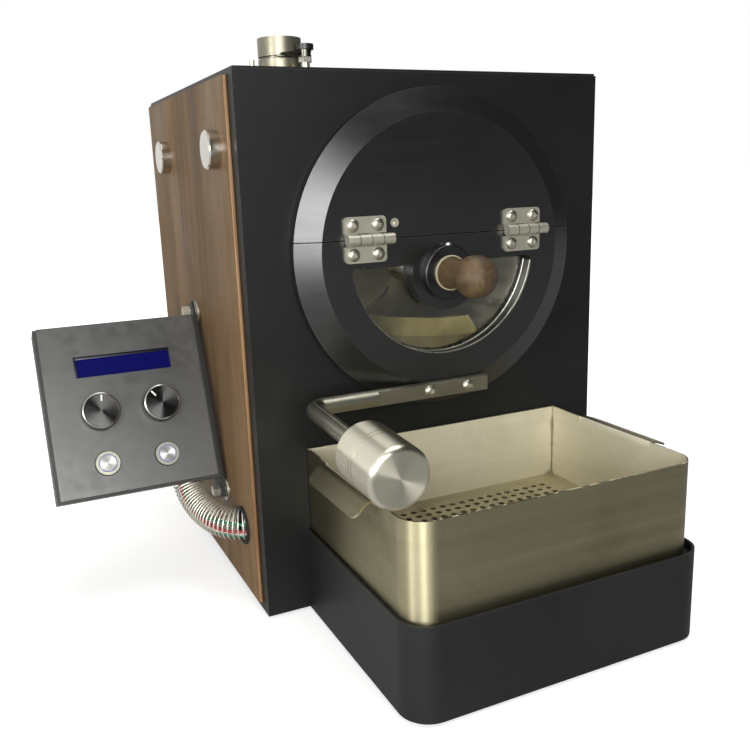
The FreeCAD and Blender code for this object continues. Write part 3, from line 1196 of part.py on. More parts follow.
def fan_blade(number):
    """One twisted blade, lofted from a steep root to a flatter tip."""
    sections = []
    ends = ((val("fan_hub - cut_over"), "blade_root_chord", "blade_root_pitch"),
            (val("fan_bore - blade_tip_gap"), "blade_tip_chord", "blade_tip_pitch"))
    for radius, chord, pitch in ends:
        slope, half = math.radians(val(pitch)), val(chord) / 2
        along = Vector(0, math.cos(slope), math.sin(slope))
        normal = Vector(0, -math.sin(slope), math.cos(slope)) * val("blade_thick/2")
        middle = Vector(radius, 0, val(IMPELLER_LOW + " + " + IMPELLER_TALL + "/2"))
        corners = [middle - along * half - normal, middle + along * half - normal,
                   middle + along * half + normal, middle - along * half + normal]
        sections.append(Part.makePolygon(corners + corners[:1]))
    one = Part.makeLoft(sections, True, True)
    one.rotate(ORIGIN, Z, 360 * number / val("blade_count"))
    one.translate(Vector(0, -val("fan_centre"), 0))
    return one


hub = cylinder("fan_hub", IMPELLER_TALL, "0", "-fan_centre", IMPELLER_LOW)
blades = [feature(fan_blade(number), "Blade") for number in range(int(val("blade_count")))]
impeller = fuse(hub, *blades)
node("cooling_impeller", cut(impeller, cylinder("axle_radius + run_gap", "fan_depth/2", "0", "-fan_centre",
                                                IMPELLER_LOW)))

# Cooling tray: bent walls with two flaps and a perforated floor
DECK_TOP = "(deck_height + deck_thick)"
tray = new_body("Tray")
pad(tray, front_rounded(sketch(tray, "XY_Plane", DECK_TOP), "tray_width/2", "-tray_back", "tray_front",
                        "tray_corner"), "tray_top - " + DECK_TOP)
tray_inside = sketch(tray, "XY_Plane", DECK_TOP)
front_rounded(tray_inside, "tray_width/2 - tray_wall", "-(tray_back + tray_wall)", "tray_front - tray_wall",
              "tray_corner - tray_wall")
pocket(tray, tray_inside)


def flap(side, fall, over, back):
    """A flap that bends out and down from a side wall: side is + or -, over and back are its arcs' ways."""
    body = new_body("Flap")
    profile = sketch(body, "XZ_Plane", "flap_start")
    turn_x, turn_z = "tray_width/2 - tray_wall + flap_bend", "tray_top - flap_bend"

    def bent(radius, past="0"):
        """A place on the bend of one face, or past it along the straight part."""
        return (side + "(%s + (%s)*sin(%s) + (%s)*cos(%s))" % (turn_x, radius, fall, past, fall),
                "%s + (%s)*cos(%s) - (%s)*sin(%s)" % (turn_z, radius, fall, past, fall))

    inner = "flap_bend - tray_wall"
    closed(profile, (side + "(tray_width/2 - tray_wall)", turn_z, "flap_bend", over), bent("flap_bend"),
           bent("flap_bend", "flap_reach"), bent(inner, "flap_reach"), bent(inner) + (inner, back),
           (side + "(tray_width/2)", turn_z))
    pad(body, profile, "flap_length")
    far = abs(val(bent("flap_bend", "flap_reach/2")[0]))
    round_edges(body, "flap_corner", lambda edge, middle:
                abs(middle.x) > far and abs(edge.Length - val("tray_wall")) < NEAR * val("tray_wall"))
    return body


notches = [box(left, "-(flap_start + flap_length)", "tray_top - flap_bend", "tray_wall + 2*cut_over",
               "flap_length", "flap_bend + cut_over")
           for left in ("-(tray_width/2 + cut_over)", "tray_width/2 - tray_wall - cut_over")]
node("tray_walls", fuse(cut(tray, *notches), flap("-", "flap_left_fall", "ccw", "cw"),
                        flap("+", "flap_right_fall", "cw", "ccw")))

floor = new_body("Floor")
pad(floor, front_rounded(sketch(floor, "XY_Plane", "floor_height"), "tray_width/2 - tray_wall",
                         "-(tray_back + tray_wall)", "tray_front - tray_wall", "tray_corner - tray_wall"),
    "floor_thick")
ACROSS = int(val("(tray_width - 2*hole_margin)/hole_pitch"))
ROWS = int(val("(tray_front - tray_back - 2*hole_margin)/(hole_pitch*sin(60))"))
holes = []
for line in range(ROWS + 1):
    for number in range(ACROSS + 1 - line % 2):
        x = val("hole_pitch") * (number - (ACROSS - line % 2) / 2)
        y = -val("tray_back + hole_margin") - line * val("hole_pitch*sin(60)")
        holes.append(Part.makeCylinder(val("hole_radius"), val("floor_thick"),
                                       Vector(x, y, val("floor_height"))))
node("tray_floor", cut(floor, feature(Part.makeCompound(holes), "Holes")))

feet = [cylinder("foot_radius", "foot_height", x, y, "0")
        for x in ("-(cabinet_width/2 - foot_inset)", "cabinet_width/2 - foot_inset")
        for y in ("foot_inset", "cabinet_depth - foot_inset")]
feet += [cylinder("foot_radius", "foot_height", x, "-(base_depth - foot_inset)", "0")
         for x in ("-(base_width/2 - foot_inset)", "base_width/2 - foot_inset")]
node("rubber_feet", group(*feet))


# Control box, built in its own leaning frame: X right, Y into the box, Z up the face
BOX_X = "(-(cabinet_width/2 + box_away + box_width/2))"


def lean(thing, x, behind, up, turn="0"):
    """Place a thing in the control box's frame."""
    return place(thing, "%s + (%s)" % (BOX_X, x), panel_y(behind, up), panel_z(behind, up),
                 "%s - box_tilt" % turn, X)


def lean_cylinder(radius, length, x, behind, up):
    """A cylinder in the control box's frame that runs into the box."""
    return lean(bind(doc.addObject("Part::Cylinder", "Cylinder"), Radius=radius, Height=length),
                x, behind, up, "-90")


def lean_box(x, behind, up, length, width, height):
    return lean(bind(doc.addObject("Part::Box", "Box"), Length=length, Width=width, Height=height),
                x, behind, up)


SHELL_FRONT = "(plate_thick + shadow_gap)"
DIALS = [("-dial_spread", "-dial_drop"), ("dial_spread", "-dial_drop")]
BUTTONS = [("-button_spread", "-button_drop"), ("button_spread", "-button_drop")]
casing = lean_box("-(box_width/2 + box_rim)", SHELL_FRONT, "-(box_tall/2 + box_rim)",
                  "box_width + 2*box_rim", "box_deep - " + SHELL_FRONT, "box_tall + box_rim")
neck = lean_box("-(box_width/2 - shadow_inset)", "plate_thick", "-(box_tall/2 - shadow_inset)",
                "box_width - 2*shadow_inset", "shadow_gap", "box_tall - 2*shadow_inset")
room = lean_box("-(box_width/2 - shadow_inset - box_wall)", "plate_thick",
                "-(box_tall/2 - shadow_inset - box_wall)", "box_width - 2*shadow_inset - 2*box_wall",
                "box_deep - plate_thick - box_wall", "box_tall - 2*shadow_inset - 2*box_wall")
wide_room = lean_box("-(box_width/2 + box_rim - box_wall)", SHELL_FRONT + " + box_wall",
                     "-(box_tall/2 + box_rim - box_wall)", "box_width + 2*box_rim - 2*box_wall",
                     "box_deep - 2*box_wall - " + SHELL_FRONT, "box_tall + box_rim - 2*box_wall")
wire_exit = lean(bind(doc.addObject("Part::Cylinder", "Cylinder"), Radius="conduit_radius - conduit_wall",
                      Height="2*box_wall + 2*cut_over"), "conduit_x", "conduit_y",
                 "-(box_tall/2 + box_rim + cut_over)")
node("control_box", cut(fuse(casing, neck), room, wide_room, wire_exit))

face = new_body("Face")
pad(face, rectangle(sketch(face, "XZ_Plane"), "-box_width/2", "-box_tall/2", "box_width/2", "box_tall/2"),
    "plate_thick", back=True)
pocket(face, rectangle(sketch(face, "XZ_Plane"), "-lcd_width/2", "lcd_rise - lcd_height/2", "lcd_width/2",
                       "lcd_rise + lcd_height/2"))
for x, up in DIALS:
    pocket(face, circle(sketch(face, "XZ_Plane"), "pot_bush", x, up))
for x, up in BUTTONS:
    pocket(face, circle(sketch(face, "XZ_Plane"), "bezel_body", x, up))
node("control_face", lean(face, "0", "0", "0"))

node("display", lean_box("-lcd_block_width/2", "plate_thick + lcd_sink", "lcd_rise - lcd_block_height/2",
                         "lcd_block_width", "lcd_block_deep", "lcd_block_height"))
board = lean_box("-board_width/2", "bezel_length + side_gap", "-board_height/2", "board_width", "board_thick",
                 "board_height")
pots = [fuse(lean_cylinder("pot_radius", "pot_length", x, "plate_thick", up),
             lean_cylinder("pot_bush", "plate_thick", x, "0", up),
             lean_cylinder("pot_shaft", "dial_bore_depth - side_gap", x, "-(dial_bore_depth - side_gap)", up))
        for x, up in DIALS]
node("control_board", group(board, *pots))
for name, (x, up) in zip(("dial_left", "dial_right"), DIALS):
    knob = new_body("Dial")
    revolve(knob, closed(sketch(knob, "YZ_Plane"), ("-side_gap", "pot_shaft + run_gap"),
                         ("-side_gap", "dial_radius"), ("-(dial_height - dial_skirt)", "dial_radius"),
                         ("-dial_height", "dial_radius - dial_skirt"), ("-dial_height", "0"),
                         ("-dial_bore_depth", "0"), ("-dial_bore_depth", "pot_shaft + run_gap")))
    node(name, lean(knob, x, "0", up))
bezels = []
for x, up in BUTTONS:
    bezel = new_body("Bezel")
    revolve(bezel, closed(sketch(bezel, "YZ_Plane"), ("-bezel_proud", "cap_ring + run_gap"),
                          ("-bezel_proud", "bezel_radius"), ("0", "bezel_radius"), ("0", "bezel_body"),
                          ("bezel_length", "bezel_body"), ("bezel_length", "0"),
                          ("cap_length + cap_travel - bezel_proud", "0"),
                          ("cap_length + cap_travel - bezel_proud", "cap_ring + run_gap")))
    bezels.append(lean(bezel, x, "0", up))
node("button_bezels", group(*bezels))
for name, (x, up) in zip(("button_left", "button_right"), BUTTONS):
    node(name, lean_cylinder("cap_ring", "cap_length + cap_proud - side_gap", x,
                             "-(bezel_proud + cap_proud)", up))

bracket = lean_box("box_width/2 + box_rim", "bracket_centre - bracket_width/2", "-(bolt_below + bracket_width/4)",
                   "bracket_thick", "bracket_width", "bolt_below + bolt_above + bracket_width/2")
BRACKET_LEFT = "(%s + box_width/2 + box_rim)" % BOX_X
node("box_bracket", cut(bracket, *[cylinder("bolt_radius", "bracket_thick", BRACKET_LEFT, y, z, "X")
                                   for y, z in (UPPER_BOLT, LOWER_BOLT)]))
bolts = []
for y, z in (UPPER_BOLT, LOWER_BOLT):
    bolt_head = prism("bolt_head", "bolt_head_length", BRACKET_LEFT, y, z, "-X")
    stem = cylinder("bolt_radius", "box_away - box_rim + sheet_wall + bolt_inside",
                    BRACKET_LEFT, y, z, "X")
    bolts.append(fuse(bolt_head, stem))
    washer_left = "-(%s + washer_thick)" % SIDE
    spacer_left = BRACKET_LEFT + " + bracket_thick"
    bolts.append(tube("spacer_radius", "bolt_radius", "%s - (%s)" % (washer_left, spacer_left),
                        spacer_left, y, z, "X"))
    bolts.append(tube("washer_radius", "bolt_radius", "washer_thick", washer_left, y, z, "X"))
    inner_face = "-(cabinet_width/2 - sheet_wall)"
    bolts.append(cut(prism("bolt_head", "bolt_head_length", inner_face, y, z, "X"),
                       cylinder("bolt_radius", "bolt_head_length", inner_face, y, z, "X")))
node("bracket_bolts", group(*bolts))

# Spring conduit with its wires, along straight runs joined by tangent arcs
START = (BOX_X + " + conduit_x", panel_y("conduit_y", "-(box_tall/2 + box_rim)"),
         panel_z("conduit_y", "-(box_tall/2 + box_rim)"))
DOWN = "-(box_tall/2 + conduit_drop)"
ROUTE = [START, (START[0], panel_y("conduit_y", DOWN), panel_z("conduit_y", DOWN)),
         ("-(%s + conduit_mid_x)" % SIDE, "conduit_hole_y", "conduit_hole_z"),
         ("-(%s - sheet_wall - conduit_inside)" % HALF, "conduit_hole_y", "conduit_hole_z")]


def route_wire(radius):
    """Straight runs through the route's points with an arc at each corner."""
    points = [Vector(*[val(text) for text in point]) for point in ROUTE]
    edges, last = [], points[0]
    for before, corner, after in zip(points, points[1:], points[2:]):
        inward, outward = (before - corner).normalize(), (after - corner).normalize()
        turn = math.pi - inward.getAngle(outward)
        reach = radius * math.tan(turn / 2)
        first, final = corner + inward * reach, corner + outward * reach
        middle = corner + (inward + outward).normalize() * (radius / math.cos(turn / 2) - radius)
        edges.append(Part.makeLine(last, first))
        edges.append(Part.Arc(first, middle, final).toShape())
        last = final
    edges.append(Part.makeLine(last, points[-1]))
    return Part.Wire(edges)


def swept(radius):
    """A round bar along the conduit's route."""
    wire = route_wire(val("conduit_bend"))
    start = wire.Edges[0]
    section = Part.Wire(Part.makeCircle(radius, start.valueAt(start.FirstParameter),
                                        start.tangentAt(start.FirstParameter)))
    bar = wire.makePipeShell([section], True, False)
    share = bar.Volume / (math.pi * radius**2 * wire.Length)
    if abs(share - 1) > NEAR:
        raise RuntimeError("the conduit's sweep has lost volume")
    return bar


spring_outer, spring_inner = swept(val("conduit_radius")), swept(val("conduit_radius - conduit_wall"))
node("spring_conduit", feature(spring_outer.cut(spring_inner), "Conduit"))
node("conduit_wires", feature(swept(val("conduit_radius - conduit_wall - side_gap")), "Bundle"))
GROMMET_LEFT = "-(%s + grommet_proud)" % SIDE
node("panel_grommet", tube("conduit_radius + grommet_width", "conduit_radius",
                           "grommet_proud + panel_thick + sheet_wall", GROMMET_LEFT, "conduit_hole_y",
                           "conduit_hole_z", "X"))

# Mains inlet in the rear panel
REAR = "cabinet_depth"
inlet_body = fuse(box("inlet_across - inlet_flange_width/2", REAR, "inlet_height - inlet_flange_height/2",
                      "inlet_flange_width", "inlet_flange", "inlet_flange_height"),
                  box("inlet_across - inlet_width/2", REAR + " - inlet_deep", "inlet_height - inlet_tall/2",
                      "inlet_width", "inlet_deep", "inlet_tall"))
socket_room = box("inlet_across - inlet_width/2 + inlet_wall", REAR + " - inlet_deep + inlet_wall",
                  "inlet_height - inlet_tall/2 + inlet_wall", "inlet_width - 2*inlet_wall",
                  "inlet_deep + inlet_flange", "inlet_tall - 2*inlet_wall")
contacts = [box("inlet_across + (%d)*inlet_pin_pitch - inlet_pin" % number,
                REAR + " - inlet_deep + inlet_wall", "inlet_height - 2*inlet_pin", "2*inlet_pin",
                "inlet_pin_length", "4*inlet_pin")
            for number in (-1, 0, 1)]
node("mains_inlet", fuse(cut(inlet_body, socket_room), *contacts))

# Check everything, then write one file for each sub-part
doc.recompute()
faults = ["%s is %s" % (thing.Label, thing.State) for thing in doc.Objects
          if "Invalid" in thing.State or "Error" in thing.State]
faults += [name + " has no valid shape" for name, thing in NODES.items()
           if thing.Shape.isNull() or not thing.Shape.isValid() or not thing.Shape.Solids]
if faults:
    raise RuntimeError("; ".join(faults))
os.makedirs("parts", exist_ok=True)
for name, thing in NODES.items():
    thing.Shape.exportStep("parts/%s.step" % name)
print(len(NODES), "sub-parts written")
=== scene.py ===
"""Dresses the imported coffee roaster: finishes for its solids, finer pieces, a studio and a camera."""

import math

import bmesh
import bpy
from mathutils import Matrix, Vector


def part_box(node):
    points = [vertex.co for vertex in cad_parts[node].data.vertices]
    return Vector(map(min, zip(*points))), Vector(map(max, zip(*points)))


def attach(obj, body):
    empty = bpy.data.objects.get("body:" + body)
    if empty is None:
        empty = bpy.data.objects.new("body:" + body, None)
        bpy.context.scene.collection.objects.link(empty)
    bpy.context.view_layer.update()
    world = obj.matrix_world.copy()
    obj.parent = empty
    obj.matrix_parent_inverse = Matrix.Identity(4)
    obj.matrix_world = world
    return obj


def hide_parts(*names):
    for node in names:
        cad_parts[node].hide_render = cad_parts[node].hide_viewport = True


bl_info = {
    "name": "Coffee roaster dressing",
    "version": (1, 0, 0),
    "blender": (4, 5, 0),
    "location": "View3D > Sidebar > Roaster",
    "description": "Finishes, fine pieces and a studio for a small electric coffee roaster",
    "category": "Object",
}

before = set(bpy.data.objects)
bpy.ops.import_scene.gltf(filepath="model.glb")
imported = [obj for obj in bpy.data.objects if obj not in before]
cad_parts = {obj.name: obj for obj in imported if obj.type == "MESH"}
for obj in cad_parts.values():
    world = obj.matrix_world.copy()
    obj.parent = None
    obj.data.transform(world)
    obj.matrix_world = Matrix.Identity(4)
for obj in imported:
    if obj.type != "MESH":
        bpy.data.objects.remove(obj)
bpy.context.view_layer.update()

# Places on the solids, in metres unless their names say otherwise

MM = 0.001
DRUM_AXIS_UP = 237 * MM
# The control face: x to the right, y into the box, z up the face
PANEL = Matrix.Translation((-0.194, 0.089, 0.138)) @ Matrix.Rotation(math.radians(-21.3), 4, "X")
PANEL_OUT = PANEL.to_3x3() @ Vector((0, -1, 0))
DISPLAY_UP = 29.2 * MM
# Each dial: how far across the face it is, and how many degrees its pointer is turned
DIALS = {"dial_left": (-20.3 * MM, 8), "dial_right": (20.3 * MM, -38)}
DIAL_UP = -3.5 * MM
BUTTONS = {"button_left": -20 * MM, "button_right": 20 * MM}
BUTTON_UP = -38.3 * MM
HINGES_ACROSS_MM = (-58, 58)
HINGE_SCREW_ACROSS_MM = 8.5
UPPER_SCREWS_UP, LOWER_SCREWS_UP, LEVER_SCREWS_UP = 256.5 * MM, 238.5 * MM, 146.01 * MM
LEVER_SCREWS_ACROSS_MM = (-16.3, 12.6)
LEAF_WIDTH_MM = 28.5
# How far the knuckles' row starts inside the leaf, and the step from one knuckle to the next
KNUCKLES_IN_MM, KNUCKLE_STEP_MM = 0.45, 8.0
PIN_Y, PIN_Z = -18.75 * MM, 247.5 * MM
LEAF_FACE_Y, LEVER_FACE_Y = -17 * MM, -20.4 * MM
CONDUIT_RADIUS = 11 * MM
CONDUIT_ROUTE_MM = [(-160, 80.46, 76.18), (-158, 72, 62), (-143, 37.5, 54), (-125.5, 37, 54.5)]
# Radians below level at which the window's round edge begins
BEAD_START = 0.16

# Outlines to spin, as (radius, height) in mm

SCREW_DOME = ((0, -0.4), (4.05, -0.4), (4.05, 0.35), (3.7665, 1.0), (3.0375, 1.6), (2.025, 1.95),
              (1.0125, 2.1), (0, 2.15))
SET_SCREW = ((0, 0), (2.1, 0), (2.1, 0.9), (1.7, 1.4), (0.9, 1.5), (0.9, 0.7), (0, 0.7))
LIT_RING = ((5.4, 2.06), (6.15, 2.06), (6.15, 1.9), (5.4, 1.9), (5.4, 2.06))
# A thin dark ring round each button's bezel, which is painted shadow
BEZEL_SHADOW = ((7.6, 0.02), (8.6, 0.02), (8.6, 0.3), (8.45, 0.45), (7.6, 0.45), (7.6, 0.02))
# A dark washer in a knuckle gap, which is painted shadow
KNUCKLE_GAP = ((3.0, 0), (3.68, 0), (3.68, 0.4), (3.0, 0.4), (3.0, 0))
DIAL_RADIUS_MM, DIAL_HEIGHT_MM, POINTER_LONG_MM = 12.6, 14, 4.2
# Knurled side, bright chamfer, then the slightly sunk face
DIAL = ((0, 0), (DIAL_RADIUS_MM - 0.3, 0), (DIAL_RADIUS_MM, 0.5),
        (DIAL_RADIUS_MM, DIAL_HEIGHT_MM - 2.1), (DIAL_RADIUS_MM - 0.4, DIAL_HEIGHT_MM - 1.7),
        (DIAL_RADIUS_MM - 0.4, DIAL_HEIGHT_MM - 0.9), (DIAL_RADIUS_MM - 1.2, DIAL_HEIGHT_MM - 0.3),
        (DIAL_RADIUS_MM - 1.6, DIAL_HEIGHT_MM - 0.7), (0, DIAL_HEIGHT_MM - 0.7))

# How a pattern is drawn out, as scales along x, y and z: a small number makes long lines that way

EVEN = (1, 1, 1)
LEVEL_LINES = (0.03, 0.03, 1)

# Sockets of a colour Mix node, and the first and second value of one that mixes plain numbers

FACTOR, TINT_A, TINT_B, MIXED = 0, 6, 7, 2
VALUE_A, VALUE_B = 2, 3


# Sizes and colours that a user may change

class RoasterSizes(bpy.types.PropertyGroup):
    """Sizes of the fine pieces, which the solids don't hold."""

    hole_width: bpy.props.FloatProperty(
        name="Hole width", description="Punched holes of the cooling floor",
        default=0.0044, min=0.001, max=0.006, unit="LENGTH", precision=4)
    hole_pitch: bpy.props.FloatProperty(
        name="Hole pitch", description="Centre to centre of neighbouring holes",
        default=0.0076, min=0.005, max=0.02, unit="LENGTH", precision=4)
    knurl_count: bpy.props.IntProperty(
        name="Knurls", description="Ridges round a dial", default=64, min=24, max=120)
    knurl_depth: bpy.props.FloatProperty(
        name="Knurl depth", description="Depth of the ridges round a dial",
        default=0.0004, min=0.0, max=0.001, unit="LENGTH", precision=4)
    spring_wire: bpy.props.FloatProperty(
        name="Spring wire", description="Width of the wire of the conduit spring",
        default=0.0012, min=0.001, max=0.003, unit="LENGTH", precision=4)
    spring_turns: bpy.props.IntProperty(
        name="Spring turns", description="Turns of the conduit spring", default=26, min=10, max=60)
    recess_width: bpy.props.FloatProperty(
        name="Recess width", description="Slot of a cross recess",
        default=0.0009, min=0.0004, max=0.002, unit="LENGTH", precision=4)


class RoasterColours(bpy.types.PropertyGroup):
    """Main colours, as sRGB hex."""

    coat: bpy.props.StringProperty(
        name="Powder coat", description="Black sheet metal", default="#0a0c0a")
    veneer: bpy.props.StringProperty(
        name="Veneer", description="Walnut side panels, middle tone", default="#6d5435")
    handle: bpy.props.StringProperty(
        name="Handle", description="Turned walnut of the sampler", default="#56452e")
    tray: bpy.props.StringProperty(
        name="Tray steel", description="Satin steel of the cooling tray", default="#b3ab8c")
    display: bpy.props.StringProperty(
        name="Display", description="Lit blue of the display", default="#050749")
    brass: bpy.props.StringProperty(
        name="Flights", description="Brass flights in the drum", default="#cdbd88")


# Small tools for finishes

def colour(hex_code):
    """An sRGB hex colour as the linear one that sockets take."""
    parts = [int(hex_code[i:i + 2], 16) / 255 for i in (1, 3, 5)]
    return tuple(p / 12.92 if p <= 0.04045 else ((p + 0.055) / 1.055) ** 2.4 for p in parts) + (1.0,)


def shade(base, factor, lift=0.0):
    """A linear colour made darker or paler."""
    return tuple(min(1, factor * part + lift) for part in base[:3]) + (1.0,)


def grey(value):
    """A plain grey, for stops that drive roughness, height or a share."""
    return (value, value, value, 1.0)


def add(tree, kind, settings=None, *links):
    """Adds one node. Settings name its properties and inputs, a ramp's stops as (place, colour) or
    the span that a range is mapped from and to; a link is (node, its output, our input)."""
    new = tree.nodes.new("ShaderNode" + kind)
    values = dict(settings or {})
    stops = values.pop("stops", ())
    values.update(zip(("From Min", "From Max", "To Min", "To Max"), values.pop("span", ())))
    for key in [key for key in values if isinstance(key, str) and hasattr(new, key)]:
        setattr(new, key, values.pop(key))
    for key, value in values.items():
        new.inputs[key].default_value = value
    for number, (place, tint) in enumerate(stops):
        points = new.color_ramp.elements
        point = points[number] if number < 2 else points.new(place)
        point.position, point.color = place, tint
    for source, output, socket in links:
        tree.links.new(source.outputs[output], new.inputs[socket])
    return new


def start(name, **settings):
    """A new material with its shader's plain values set. Gives it, its tree, its shader and a
    link from the place on the piece."""
    made = bpy.data.materials.new(name)
    made.use_nodes = True
    tree = made.node_tree
    shader = tree.nodes["Principled BSDF"]
    for key, value in settings.items():
        shader.inputs[key.replace("_", " ")].default_value = value
    return made, tree, shader, (add(tree, "TexCoord"), "Object", "Vector")


def lead(tree, shader, tone=None, dull=None, height=None, strength=0.0, depth_mm=0.0):
    """Leads worked-out colour, roughness and height, each a (node, output), to the shader."""
    for source, socket in ((tone, "Base Color"), (dull, "Roughness")):
        if source:
            tree.links.new(source[0].outputs[source[1]], shader.inputs[socket])
    if height:
        bump = add(tree, "Bump", {"Strength": strength, "Distance": depth_mm * MM}, (*height, "Height"))
        tree.links.new(bump.outputs["Normal"], shader.inputs["Normal"])


# Finishes, each named for its stuff and how its surface was made

def black_powder_coat(name="powder_coated_steel", tint=None, rough=0.46, gloss=0.5):
    """Sheet steel with baked black powder: a fine pebble, satin gloss, and a paler line along the edges
    that is partly wear and partly painted highlight.
    """
    made, tree, shader, here = start(name, Specular_IOR_Level=gloss)
    base = colour(tint or bpy.context.scene.roaster_colours.coat)
    # The real pebble is about 0.4 mm; 1.2 mm is the finest that the render shows
    pebble = add(tree, "TexNoise", {"Scale": 850.0, "Detail": 2.0}, here)
    cloud = add(tree, "TexNoise", {"Scale": 9.0, "Detail": 5.0, "Roughness": 0.6}, here)
    rub = add(tree, "Mapping", {"Scale": (22, 22, 160), "Rotation": (0.35, 0.0, 0.5)}, here)
    rubs = add(tree, "TexNoise", {"Scale": 1.0, "Detail": 6.0, "Roughness": 0.7},
               (rub, "Vector", "Vector"))
    tone = add(tree, "ValToRGB", {"stops": [(0.3, shade(base, 0.8)), (0.7, shade(base, 1.35, 0.003))]},
               (cloud, "Fac", "Fac"))
    # Every edge gets a greyer line about 0.4 mm wide: partly where handling thins the coat, partly a
    # painted highlight for the light a rounded edge catches
    soft = add(tree, "Bevel", {"samples": 4, "Radius": 0.45 * MM})
    plain = add(tree, "NewGeometry")
    along = add(tree, "VectorMath", {"operation": "DOT_PRODUCT"},
                (soft, "Normal", 0), (plain, "Normal", 1))
    edge = add(tree, "MapRange", {"span": (0.999, 0.93, 0.0, 0.55)}, (along, "Value", "Value"))
    wear_and_highlight = add(tree, "Mix", {"data_type": "RGBA", TINT_B: colour("#4a4b47")},
               (edge, "Result", FACTOR), (tone, "Color", TINT_A))
    sheen = add(tree, "MapRange", {"span": (0.35, 0.7, rough - 0.02, rough + 0.03)}, (rubs, "Fac", "Value"))
    lead(tree, shader, (wear_and_highlight, MIXED), (sheen, "Result"), (pebble, "Fac"), 0.08, 0.1)
    return made


def walnut(name, tint, along=(1, 1, 0.045), rough=0.54, figure=1.0):
    """Walnut under thin oil: long pores, brown bands, a blotchy silk where the oil pooled."""
    made, tree, shader, here = start(name, Specular_IOR_Level=0.28)
    base = colour(tint)
    place = add(tree, "Mapping", {"Scale": along}, here)
    sway = add(tree, "TexNoise", {"Scale": 17.0 * figure, "Detail": 3.0, "Distortion": 1.3},
               (place, "Vector", "Vector"))
    # Growth bands are 6 to 12 mm apart on a flat-sawn face
    band = add(tree, "TexNoise", {"Scale": 110.0 * figure, "Detail": 6.0, "Roughness": 0.62,
                                  "Distortion": 1.2}, (place, "Vector", "Vector"))
    # Pores are 0.2 mm wide; drawn about 1 mm, the finest that shows
    pore = add(tree, "TexNoise", {"Scale": 900.0, "Detail": 3.0, "Roughness": 0.7},
               (place, "Vector", "Vector"))
    blot = add(tree, "TexNoise", {"Scale": 14.0, "Detail": 3.0}, here)
    shades = [(0.28, shade(base, 0.6)), (0.45, shade(base, 0.88)), (0.58, shade(base, 1.08)),
              (0.76, shade(base, 1.4))]
    wood = add(tree, "ValToRGB", {"stops": shades}, (band, "Fac", "Fac"))
    wide = add(tree, "ValToRGB", {"stops": [(0.32, grey(0.6)), (0.68, grey(1.26))]},
               (sway, "Fac", "Fac"))
    toned = add(tree, "Mix", {"data_type": "RGBA", "blend_type": "MULTIPLY", FACTOR: 1.0},
                (wood, "Color", TINT_A), (wide, "Color", TINT_B))
    holes = add(tree, "ValToRGB", {"stops": [(0.36, grey(0.45)), (0.46, grey(1.0))]},
                (pore, "Fac", "Fac"))
    pored = add(tree, "Mix", {"data_type": "RGBA", "blend_type": "MULTIPLY", FACTOR: 0.8},
                (toned, MIXED, TINT_A), (holes, "Color", TINT_B))
    silk = add(tree, "MapRange", {"span": (0.3, 0.7, rough - 0.1, rough + 0.14)}, (blot, "Fac", "Value"))
    lead(tree, shader, (pored, MIXED), (silk, "Result"), (pore, "Fac"), 0.25, 0.15)
    return made


def worked_steel(name, tint, rough, lines=EVEN, depth=0.06, stain=0.0, stain_tint="#6d664a",
                 stain_size=16.0, anisotropic=0.0, metal=1.0):
    """Steel with fine lines from its working: a soft streaked shine, and a few heat or finger stains."""
    made, tree, shader, here = start(name, Metallic=metal, Anisotropic=anisotropic)
    if anisotropic:
        # Belt lines run level, so each light is drawn out into an upright streak
        up = add(tree, "CombineXYZ", {"Z": 1.0})
        tree.links.new(up.outputs["Vector"], shader.inputs["Tangent"])
    base = colour(tint)
    # Belt lines are near 0.1 mm apart; drawn about 0.8 mm so that they show
    place = add(tree, "Mapping", {"Scale": lines}, here)
    line = add(tree, "TexNoise", {"Scale": 1200.0, "Detail": 2.0}, (place, "Vector", "Vector"))
    broad = add(tree, "TexNoise", {"Scale": 160.0, "Detail": 3.0}, (place, "Vector", "Vector"))
    cloud = add(tree, "TexNoise", {"Scale": stain_size, "Detail": 6.0, "Roughness": 0.65,
                                   "Distortion": 0.6}, here)
    mixed = add(tree, "Mix", {"data_type": "RGBA", TINT_B: shade(base, 0.86), TINT_A: base},
                (broad, "Fac", FACTOR))
    spots = add(tree, "ValToRGB", {"stops": [(0.5, grey(0.0)), (0.78, grey(stain))]},
                (cloud, "Fac", "Fac"))
    marked = add(tree, "Mix", {"data_type": "RGBA", TINT_B: colour(stain_tint)},
                 (spots, "Color", FACTOR), (mixed, MIXED, TINT_A))
    dull = add(tree, "MapRange", {"span": (0.3, 0.72, rough - 0.04, rough + 0.07)}, (broad, "Fac", "Value"))
    more = add(tree, "MapRange", {"span": (0.5, 0.8, 0.0, 0.35 * stain)}, (cloud, "Fac", "Value"))
    both = add(tree, "Math", {"operation": "ADD"}, (dull, "Result", 0), (more, "Result", 1))
    lead(tree, shader, (marked, MIXED), (both, "Value"), (line, "Fac"), depth, 0.05)
    return made


